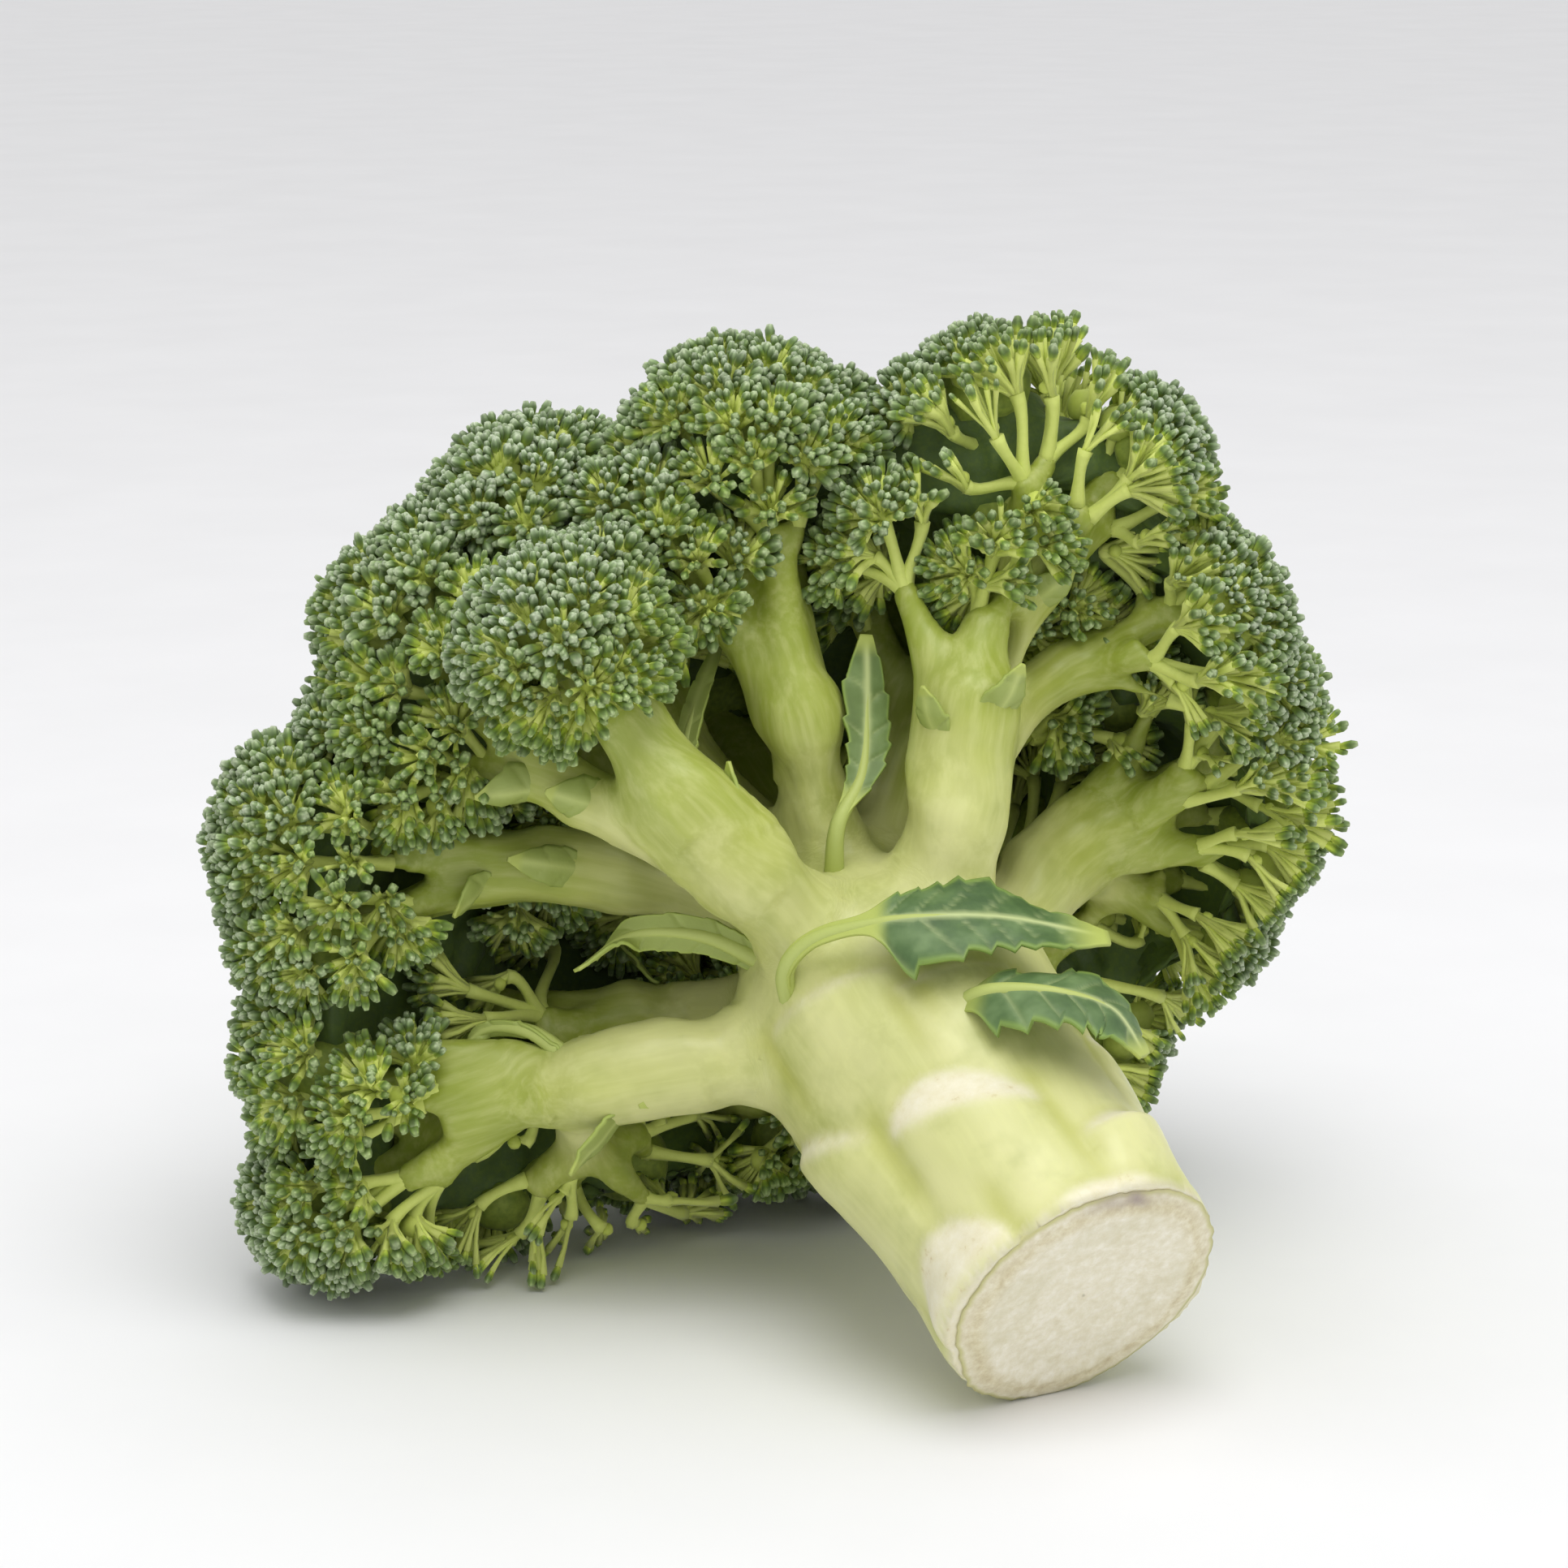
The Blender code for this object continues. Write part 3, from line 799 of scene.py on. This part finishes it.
def crown_surface():
    """The outside of all bud heads together, with narrow valleys filled, as places and directions."""
    points, _, quads = crown_shell(CROWN_INFLATE, CROWN_SMOOTHING)
    normals = quad_normals(points, quads)
    points = points - CROWN_SHRINK * normals
    hidden = BVHTree.FromPolygons(points.tolist(), quads.tolist())
    places, ways = points[quads].mean(axis=1), unit(normals[quads].sum(axis=1))
    seen = [
        hidden.ray_cast(Vector(place + 0.5 * way), Vector(way), FREE_VIEW)[0] is None
        for place, way in zip(places, ways)
    ]
    return places[seen], ways[seen]


def head_root(head):
    """(stem tip, direction from it, middle) of a bud head."""
    points = CAD[head][0]
    centre = box_middle(points)
    stem = CAD[floret_of(head)][0]
    nearest = stem[np.argsort(length(stem - centre))[:10]].mean(axis=0)
    return nearest, unit(centre - nearest), centre


class Umbel:
    """A small round spray of buds: its middle, the way it faces and how open it is."""

    def __init__(self, head, place, facing, rim, chance):
        root = ROOTS[head][0]
        self.head = head
        outermost = 0.65 - 0.45 * rim
        self.way = unit(outermost * facing + (1 - outermost) * unit(place - root))
        patch = wavy(place[None], 38, 51)[0]
        self.fresh = float(np.clip(0.12 + 0.85 * rim + 0.45 * patch + chance.normal(0, 0.12), 0, 1))
        self.open = float(np.clip(0.6 * rim + 0.3 * patch + chance.normal(0, 0.15), 0, 1))
        self.radius = UMBEL_RADIUS * chance.uniform(0.85, 1.15) * (1.45 - 0.15 * self.open)
        self.reach = UMBEL_REACH + self.open * (OPEN_UMBEL_REACH - UMBEL_REACH)
        self.size = chance.uniform(0.92, 1.08)
        self.centre = place - self.way * (self.radius + BUD_LENGTH * 0.95 - chance.normal(0, 0.5))
        self.foot = self.centre - self.way * (1.0 + 3.0 * self.open)

    def turn_to_side(self, place, facing, axis, chance):
        """Makes it a long bare fan that grows along its head's axis, seen from the side on open florets."""
        self.way = unit(0.8 * axis + 0.3 * facing + chance.normal(0, 0.2, 3))
        self.fresh, self.open = chance.uniform(0.7, 1.0), 1.0
        self.radius = UMBEL_RADIUS * chance.uniform(1.6, 2.2)
        self.reach = chance.uniform(46, 66)
        self.centre = place - 2.6 * facing - self.way * self.radius * 0.6
        self.foot = self.centre - self.way * 2.5


ROOTS = {head: head_root(head) for head in HEADS}


def kd_tree(places):
    tree = KDTree(len(places))
    for number, place in enumerate(places):
        tree.insert(place, number)
    tree.balance()
    return tree


def scattered_umbels(chance):
    """Spaced umbels all over the crown, except on the side that each bud head turns to its stem."""
    places, ways = crown_surface()
    tree = kd_tree(np.vstack([CAD[head][0] for head in HEADS]))
    head_of_point = [head for head in HEADS for _ in CAD[head][0]]
    waver = 9 * wavy(places, 14, 52)
    kept, umbels = np.zeros((0, 3)), []
    for index in chance.permutation(len(places)):
        place = places[index]
        if place[2] < 2.5:
            continue
        head = head_of_point[tree.find(place)[1]]
        _, axis, centre = ROOTS[head]
        angle = math.degrees(math.acos(float(np.clip(unit(place - centre) @ axis, -1, 1)))) + waver[index]
        if angle > HEAD_REACH:
            continue
        on_bare_side = angle > OPEN_HEAD_REACH and floret_of(head)[len("stem_"):] in OPEN_FLORETS
        spacing = UMBEL_SPACING * chance.uniform(0.85, 1.15) * (0.8 if on_bare_side else 1)
        if len(kept) and length(kept - place).min() < spacing:
            continue
        kept = np.vstack([kept, place])
        rim = float(smooth_step(angle, 44, 106))
        umbel = Umbel(head, place, ways[index], rim, chance)
        if on_bare_side:
            umbel.turn_to_side(place, ways[index], axis, chance)
        umbels.append(umbel)
    return umbels


def even_directions(count, chance):
    """Evenly spread directions all round, on a spiral that starts at random."""
    number = np.arange(count) + 0.5
    height = 1 - 2 * number / count
    turn = math.pi * (1 + 5**0.5) * number + chance.uniform(0, 6.3)
    flat = np.sqrt(1 - height**2)
    return np.stack([flat * np.cos(turn), flat * np.sin(turn), height], axis=1)


def bud_template():
    """A closed bud along +Z, one long and one wide: four plump sepals that meet in a blunt tip.

    Returns its points and triangles, and at each point its height and how near it is to a sepal's
    ridge.
    """
    heights = np.array((0.0, 0.3, 0.66, 0.92))
    radii = np.array((0.5, 0.86, 1.0, 0.6)) / 2
    rings, sides = len(heights), 8
    side = np.arange(sides)
    turns = side * 2 * math.pi / sides
    ridge = 1.0 - side % 2
    spokes = radii[:, None] * (0.84 + 0.16 * ridge)
    walls = np.stack([np.cos(turns) * spokes, np.sin(turns) * spokes, heights[:, None] + 0 * spokes], axis=-1)
    points = np.vstack([walls.reshape(-1, 3), (0, 0, 0.95), (0, 0, 0)])
    tip, foot = np.full((2, sides), rings * sides) + ((0,), (1,))
    after = (side + 1) % sides
    top = (rings - 1) * sides
    caps = [np.stack([top + side, top + after, tip], axis=-1), np.stack([after, side, foot], axis=-1)]
    triangles = np.vstack([halved(closed_strips(rings, sides)), *caps])
    height = np.concatenate([np.repeat(heights, sides), (0.97, 0.0)])
    return points, triangles, height, np.concatenate([np.tile(ridge, rings), (0.2, 0.5)])


BUD_POINTS, BUD_TRIANGLES, BUD_HEIGHTS, BUD_RIDGES = bud_template()


def place_buds(umbels, skin_tree, chance):
    """Gives each umbel its buds' directions and their angles from its own, where buds have room."""
    tree = kd_tree([umbel.centre for umbel in umbels])
    widest = max(umbel.radius for umbel in umbels) + BUD_LENGTH
    for umbel in umbels:
        shell = umbel.radius + BUD_LENGTH * 0.55
        spacing = BUD_SPACING * (1 + 0.45 * umbel.open)
        count = int(4 * math.pi * shell**2 / (spacing**2 * 0.9))
        ways = unit(even_directions(count, chance) + chance.normal(0, 0.09, (count, 3)))
        tufts = ways[chance.choice(count, count // 4, replace=False)]
        ways = unit(ways + 0.28 * tufts[np.argmax(ways @ tufts.T, axis=1)])
        ways = ways @ frames_along(umbel.way[None], np.zeros(1))[0]
        angles = np.degrees(np.arccos(np.clip(ways @ umbel.way, -1, 1)))
        middles = umbel.centre + ways * shell
        keep = (angles < umbel.reach) & (middles[:, 2] > FLOOR_GAP)
        for _, number, _ in tree.find_range(umbel.centre, 2 * widest):
            other = umbels[number]
            if other is not umbel:
                gap = length(middles - other.centre)
                keep &= gap > other.radius + BUD_LENGTH * 0.42
        for index in np.flatnonzero(keep):
            keep[index] = skin_tree.find_nearest(Vector(middles[index]), SKIN_GAP)[0] is None
        umbel.ways, umbel.angles = ways[keep], angles[keep]
    return [umbel for umbel in umbels if len(umbel.ways) > 3]


def add_buds(batch, umbel, chance):
    """The buds of an umbel, each on its own pedicel."""
    count = len(umbel.ways)
    outer = smooth_step(umbel.angles, 10, 80)
    size = umbel.size * (0.84 + 0.3 * outer) * np.clip(chance.normal(1, 0.13, count), 0.65, 1.4)
    lift = chance.normal(0, 0.42, count)
    feet = umbel.centre + umbel.ways * (umbel.radius + lift)[:, None]
    lean = unit(umbel.ways + 0.3 * umbel.way * outer[:, None] + chance.normal(0, 0.17, (count, 3)))
    frames = frames_along(lean, chance.uniform(0, 6.3, count))
    width = BUD_WIDTH * size
    height = BUD_LENGTH * size * chance.uniform(0.9, 1.12, count)
    frames = frames * np.stack([width, width, height], axis=1)[:, :, None]
    points = np.einsum("vk,nkj->nvj", BUD_POINTS, frames) + feet[:, None]
    triangles = repeated(BUD_TRIANGLES, len(BUD_POINTS), count)
    shade = np.clip(chance.normal(0.5, 0.2, (count, 1)), 0, 1)
    fresh = np.clip(umbel.fresh * 0.6 + 0.4 * outer * chance.uniform(0.2, 1, count), 0, 1)[:, None]
    batch.add(points, triangles, along=0.15 + 0.85 * BUD_HEIGHTS, ridge=BUD_RIDGES, shade=shade, fresh=fresh)
    starts = np.repeat(umbel.foot[None], count, axis=0)
    paths = bent_paths(starts, unit(umbel.ways + 1.2 * umbel.way), feet + lean * 0.35, lean, 4)
    radii = PEDICEL_RADIUS * (1 + 0.25 * umbel.open) * size[:, None] * np.array([1.3, 1.0, 1.05, 1.6])
    batch.add(*tubes(paths, radii, 4), along=0.0, ridge=0.5, shade=shade, fresh=fresh)


def grouped(places, size, chance):
    """Numbers that sort places into neighbouring groups of about that many."""
    count = max(1, round(len(places) / size))
    centres = places[chance.choice(len(places), count, replace=False)]
    for _ in range(8):
        owner = np.argmin(length(places[:, None] - centres), axis=1)
        for number in np.unique(owner):
            centres[number] = places[owner == number].mean(axis=0)
    return owner


def plan_limbs(head, umbels, chance):
    """Parts a stem into limbs and those into branches, and gives every umbel the end of its branch."""
    middles, radii = LINES[floret_of(head)]
    line = curve_through(middles, LINE_STEPS)
    at_fork = round((LINE_STEPS - 1) * FORK_PLACE)
    start, growing = line[at_fork], unit(line[at_fork + 4] - line[at_fork - 4])
    stem_radius = np.interp(FORK_PLACE, np.linspace(0, 1, len(radii)), radii)
    feet = np.array([umbel.foot for umbel in umbels])
    limb_of = grouped(feet, max(4, len(feet) / LIMBS), chance)
    limbs = []
    for limb in np.unique(limb_of):
        members = np.flatnonzero(limb_of == limb)
        middle = feet[members].mean(axis=0)
        toward = unit(middle - start)
        limb_end = start + (middle - start) * 0.56
        aside = toward - (toward @ growing) * growing
        begin = start - growing * stem_radius + aside * stem_radius * 0.6
        thick = min(0.95 * math.sqrt(len(members)) + 0.6, 0.62 * stem_radius)
        radii = np.interp(np.linspace(0, 1, 9), [0, 0.4, 1], [stem_radius * 0.66, stem_radius * 0.6, thick])
        limbs.append((bent_paths(begin, growing, limb_end, toward, 9), radii))
        branch_of = grouped(feet[members], 3.2, chance)
        for branch in np.unique(branch_of):
            own = members[branch_of == branch]
            branch_middle = feet[own].mean(axis=0)
            way = unit(branch_middle - limb_end)
            branch_end = limb_end + (branch_middle - limb_end) * 0.5
            thin = min(1.05 * math.sqrt(len(own)) + 0.25, 0.85 * thick)
            path = bent_paths(limb_end - toward * thick, toward, branch_end, way, 7)
            limbs.append((path, np.linspace(thick * 0.75, thin, 7)))
            for number in own:
                umbels[number].fork = branch_end - way * thin * 0.6
                umbels[number].toward = way
    return limbs


def add_twigs(batch, umbels):
    """A twig from the end of its limb to each umbel."""
    starts = np.array([umbel.fork for umbel in umbels])
    ends = np.array([umbel.foot + umbel.way * 0.9 for umbel in umbels])
    straight = unit(ends - starts)
    start_ways = unit(np.array([umbel.toward for umbel in umbels]) + straight)
    end_ways = unit(np.array([umbel.way for umbel in umbels]) + 0.6 * straight)
    paths = bent_paths(starts, start_ways, ends, end_ways, 8, 0.28)
    radii = np.ones((len(umbels), 1)) * np.array([1.45, 1.3, 1.1, 0.95, 0.9, 0.95, 1.1, 1.3])
    batch.add(*tubes(paths, radii, 7), along=0.02, ridge=0.5, shade=0.55, fresh=0.5)


def add_hub(batch, umbel):
    """The knob that an umbel's pedicels spring from."""
    reach = min(umbel.radius, 5.0) * (0.72 - 0.5 * umbel.open)
    waves = 1 + 0.12 * wavy(BALL_POINTS * 3 + umbel.centre, 2.5, 61)
    points = umbel.centre + BALL_POINTS * waves[:, None] * reach
    batch.add(points, BALL_TRIANGLES, along=0.2, ridge=0.5, shade=0.4, fresh=umbel.fresh)


def add_core(batch, head, axis):
    """A dark inner body, so that no light comes through between the buds; its dark tone is painted shade."""
    points, triangles = CAD[head]
    centre = box_middle(points)
    size = length(points - centre).mean()
    shrunk = centre + axis * size * 0.08 + (points - centre) * max(0.3, 1 - 8.0 / size)
    # shade=0.1 gives the lowest tone: painted shade for the shaded inside of the bud head.
    batch.add(shrunk, triangles, along=0.4, ridge=0.5, shade=0.1, fresh=0.3)


def crown_filling(material):
    """A mass deep inside the crown that closes the gaps between neighbouring bud heads, darkened as painted
    shade.
    """
    points, edges, quads = crown_shell(FILLING_INFLATE, 3 * CROWN_SMOOTHING)
    points = points - (FILLING_INFLATE + FILLING_DEPTH) * quad_normals(points, quads)
    points = smoothed(points, edges, CROWN_SMOOTHING)
    points = points + 1.4 * wavy(points, 5, 71)[:, None] * quad_normals(points, quads)
    bare = np.zeros(len(points))
    # Low shade and fresh values darken the filling: painted shade for the shaded buds deep in the gaps.
    values = {"along": bare + 0.6, "ridge": bare, "shade": bare + 0.35, "fresh": bare + 0.15}
    piece(mesh_object("crown_filling", points, quads, material, values))


def flower_heads(material, umbels, skin_points, skin_quads, chance):
    skin_tree = BVHTree.FromPolygons(skin_points.tolist(), skin_quads.tolist())
    umbels = place_buds(umbels, skin_tree, chance)
    for head in HEADS:
        own = [umbel for umbel in umbels if umbel.head == head]
        batch = Batch()
        add_core(batch, head, ROOTS[head][1])
        if own:
            add_twigs(batch, own)
        for umbel in own:
            add_hub(batch, umbel)
            add_buds(batch, umbel, chance)
        batch.points = [above_floor(points) for points in batch.points]
        piece(batch.object("florets_" + head[len("buds_"):], material), [head])


# Leaves

# A leaf as its route of (up, azimuth, out), its half widths along it and how pale its blade is.
LEAF_ROUTES = {
    "leaf_long": (
        (
            (60, 163, 22), (61, 150, 27), (60, 136, 29), (56, 120, 30), (52, 106, 31), (47, 85, 32),
            (40, 62, 36),
        ),
        (1.5, 1.5, 1.5, 1.5, 2.2, 7.6, 7.8, 6.5, 2),
        0.0,
    ),
    "leaf_short": (
        ((42, 106, 21), (38, 97, 27), (32, 84, 31), (27, 71, 32), (20, 64, 30)),
        (2, 3.5, 6.4, 7.6, 7.4, 6.0, 2),
        0.0,
    ),
    "leaf_upright": (
        ((76, 116, 18), (79, 108, 26), (84, 95, 30), (92, 89, 36), (100, 87, 44)),
        (1.3, 1.1, 1.1, 2.6, 3.6, 3.4, 1),
        0.15,
    ),
    "leaf_narrow": (
        ((86, 140, 40), (95, 138, 37), (104, 128, 36), (114, 112, 37)),
        (1.7, 1.7, 2, 1.7, 0.6),
        0.7,
    ),
    "leaf_curled": (
        ((72, 168, 19), (79, 170, 27), (84, 177, 36), (81, 181, 46)),
        (2.5, 2.7, 3, 2.5, 1),
        0.65,
    ),
    "leaf_thin": (
        ((76, 200, 48), (84, 198, 52), (89, 200, 58), (87, 203, 65)),
        (1.5, 1.5, 1.2, 0.6),
        0.7,
    ),
}


# A bract as its stem, the share along it, the turn about it, and its length, half width and stand-off.
BRACTS = (
    ("stem_left", 0.5, -128, 14, 3.0, 0.2),
    ("stem_left", 0.8, -90, 7, 2.6, 0.8),
    ("stem_top_right", 0.55, -12, 8, 2.6, 0.5),
    ("stem_top_right", 0.6, -85, 10, 3.4, 0.3),
    ("stem_lower_left", 0.1, -125, 8, 2.6, 0.8),
    ("stem_lower_left", 0.4, -75, 11, 3.0, 0.6),
    ("stem_right", 0.8, -50, 10, 2.6, 0.4),
    ("stem_near_left", 0.4, -117, 9, 3.2, 0.3),
    ("stem_near_left", 0.75, -110, 7, 3.2, 0.9),
    ("stem_right_upper", 0.5, -60, 8, 2.6, 0.5),
)
MORE_BRACTS = 12
MORE_BRACT_SPANS = ((0.3, 0.7), (0, 180), (6, 10), (2, 3), (0.2, 0.9))


def toothed_halves(half, blade, lengths, chance):
    """(reach, vein phase) of a blade's two sides: the half width along it, with uneven teeth and lobes."""
    sides = []
    for _ in range(2):
        phase = chance.uniform(0, 6)
        steps = lengths / 4.6 + 0.4 * np.sin(lengths / 5.0 + phase) + chance.uniform(0, 3)
        tooth = (steps % 1) ** 1.5 - 0.45
        lobe = np.sin(lengths / 4.1 + chance.uniform(0, 6))
        sides.append((half * (1 + blade * (0.26 * tooth + 0.14 * lobe)), phase))
    return sides


def blade_sheet(name, line, facing, half_widths, columns, cup, pale, material, seed):
    """A toothed, cupped blade on each side of a line, as one closed thin shell."""
    stations = len(line)
    tangents = unit(np.gradient(line, axis=0))
    across = unit(np.cross(tangents, facing))
    through = np.cross(across, tangents)
    half = curve_through(np.array(half_widths, float)[:, None], stations)[:, 0]
    blade = smooth_step(half / half.max(), 0.3, 0.7)
    lengths = lengths_along(line)
    share = np.linspace(-1, 1, columns)
    halves = toothed_halves(half, blade * (1 - pale), lengths, np.random.default_rng(seed))
    points = np.zeros((stations, columns, 3))
    vein = np.zeros((stations, columns))
    for side, (reach, phase) in zip((-1, 1), halves):
        own = share * side >= 0
        offset = np.abs(share[own])[None, :] * reach[:, None]
        slant = lengths[:, None] - 0.75 * offset
        uneven = slant / 5.6 + 0.25 * np.sin(slant / 4.3 + phase)
        pattern = np.exp(-(((uneven % 1) - 0.5) / 0.07) ** 2) * blade[:, None]
        droop = cup * offset**2 * (1 + 0.6 * np.sin(lengths / 9 + seed))[:, None]
        to_edge = (offset / np.maximum(half[:, None], 1)) ** 2
        frill = 0.08 * half.max() * blade[:, None] * to_edge * np.sin(lengths / 2.7 + side)[:, None]
        lift = frill - droop - 0.35 * pattern * smooth_step(offset, 0.2, 1.5)
        aside = side * offset[..., None] * across[:, None]
        points[:, own] = line[:, None] + aside + lift[..., None] * through[:, None]
        vein[:, own] = 0.45 * pattern * (1 - 0.8 * np.abs(share[own])[None])
    from_middle = np.abs(share)[None] * half[:, None]
    vein = np.maximum(vein, np.exp(-(from_middle / 0.6) ** 2))
    edge = 0.8 * smooth_step(np.abs(share), 0.82, 1.0)[None] * np.ones((stations, 1))
    petiole = np.maximum(1 - blade, pale)[:, None] * np.ones((1, columns))
    grid = np.arange(stations * columns).reshape(stations, columns)
    quads = np.stack([grid[:-1, :-1], grid[:-1, 1:], grid[1:, 1:], grid[1:, :-1]], axis=-1).reshape(-1, 4)
    values = {"vein": vein.ravel(), "edge": edge.ravel(), "petiole": petiole.ravel()}
    sheet = mesh_object(name, points.reshape(-1, 3), quads, material, values)
    solidify = sheet.modifiers.new("thickness", "SOLIDIFY")
    solidify.thickness = LEAF_THICKNESS * MM
    solidify.offset = 0.0
    return sheet


def midrib(name, line, facing, material):
    """A thick vein behind a blade that thins towards its tip."""
    place = np.linspace(0, 1, len(line))
    radius = (0.5 + 1.2 * (1 - place)) * np.interp(place, [0, 0.9, 1], [1, 0.7, 0.3])
    batch = Batch()
    batch.add(*tubes((line - 0.35 * facing)[None], radius[None], 10), vein=1.0, edge=0.0, petiole=0.8)
    return batch.object(name, material)


def leaf(name, route, half_widths, pale, material, seed):
    """A leaf's blade and midrib, in place of its CAD node."""
    line = curve_through(grown(*np.array(route, float).T), 90)
    facing = outward(growth_of(line)[1])
    own_name = name.removeprefix("leaf_")
    blade = blade_sheet("blade_" + own_name, line, facing, half_widths, 29, 0.025, pale, material, seed)
    for part in (blade, midrib("midrib_" + own_name, line, facing, material)):
        piece(part, [name])


def bract(number, stem, share, turn, extent, half_width, stand_off, material):
    """A scale leaf on a stem, which grows along it and curls away from it."""
    middles, radii = LINES[stem]
    line = curve_through(middles, LINE_STEPS)
    at = round((LINE_STEPS - 1) * share)
    run = unit(line[at + 2] - line[at - 2])
    side = unit(np.cross(run, UP_AXIS))
    facing = math.cos(math.radians(turn)) * side + math.sin(math.radians(turn)) * np.cross(side, run)
    radius = np.interp(share, np.linspace(0, 1, len(radii)), radii)
    grow = np.linspace(0, 1, 26)[:, None]
    away = radius - 1.8 + extent * stand_off * 0.8 * grow**2 + 2.4 * smooth_step(grow, 0, 0.6)
    route = line[at] + run * extent * grow + facing * away
    widths = np.array((0.7, 1.1, 0.8, 0.1)) * half_width
    hug = 0.65 / radius
    sheet = blade_sheet(f"bract_{number:02d}", route, facing, widths, 13, hug, 0.65, material, 50 + number)
    piece(sheet)


def bracts(material, chance):
    """The scale leaves of BRACTS, and more of them at random."""
    for number, (stem, *shape) in enumerate(BRACTS):
        bract(number, stem, *shape, material)
    for number, stem in enumerate(chance.choice(STEMS, MORE_BRACTS, replace=False), start=len(BRACTS)):
        bract(number, stem, *(chance.uniform(*span) for span in MORE_BRACT_SPANS), material)


# Stage


def room():
    """A pale world, lighter above."""
    world = bpy.data.worlds.new("pale_room")
    world.use_nodes = True
    tree = world.node_tree
    place = shader_node(tree, "TexCoord").outputs["Generated"]
    sky = shader_node(tree, "SeparateXYZ", {0: place}).outputs["Z"]
    tone = ramp(tree, sky, (0.0, 187.5, 187.5, 189.2), (1.0, 255, 255, 255))
    tree.links.new(tone, tree.nodes["Background"].inputs["Color"])
    bpy.context.scene.world = world
    bpy.context.scene.view_settings.view_transform = "Standard"


def floor():
    corners = np.array([(-1, -1, 0), (1, -1, 0), (1, 1, 0), (-1, 1, 0)], float) * FLOOR_SIDE / 2
    mesh_object("floor", corners, np.array([[0, 1, 2, 3]]), floor_material())


def softbox():
    """A big soft light overhead, in front of the head."""
    lamp = bpy.data.lights.new("softbox", "AREA")
    lamp.shape = "DISK"
    lamp.size = 1.2
    lamp.energy = 10
    made = new_object("softbox", lamp)
    made.location = SOFTBOX_PLACE
    aim = Vector((0, 0, 0.05)) - Vector(SOFTBOX_PLACE)
    made.rotation_euler = aim.to_track_quat("-Z", "Y").to_euler()


def camera():
    """A camera that looks at the near left of the head from a little above."""
    low, high = (np.array(corner) / MM for corner in cad_box)
    aim = (low + high) / 2 + CAMERA_AIM
    azimuth, elevation = math.radians(CAMERA_AZIMUTH), math.radians(CAMERA_ELEVATION)
    back = np.array((
        math.sin(azimuth) * math.cos(elevation),
        -math.cos(azimuth) * math.cos(elevation),
        math.sin(elevation),
    ))
    lens = bpy.data.cameras.new("camera")
    lens.angle = math.radians(CAMERA_FIELD)
    made = new_object("camera", lens)
    made.location = (aim + back * CAMERA_DISTANCE) * MM
    made.rotation_euler = Vector(back).to_track_quat("Z", "Y").to_euler()
    bpy.context.scene.camera = made


camera()
floor()
softbox()
room()
chance = np.random.default_rng(SEED)
all_umbels = scattered_umbels(chance)
all_limbs = []
for head_name in HEADS:
    of_head = [umbel for umbel in all_umbels if umbel.head == head_name]
    if of_head:
        all_limbs += plan_limbs(head_name, of_head, chance)
skin_points, skin_quads = stem_skin(stem_material(), all_limbs)
cut_face(cut_material())
buds = flower_material()
flower_heads(buds, all_umbels, skin_points, skin_quads, chance)
crown_filling(buds)
blade_material = leaf_material()
for number, (leaf_name, (leaf_route, leaf_widths, paleness)) in enumerate(LEAF_ROUTES.items()):
    leaf(leaf_name, leaf_route, leaf_widths, paleness, blade_material, 31 + number)
bracts(blade_material, np.random.default_rng(SEED))
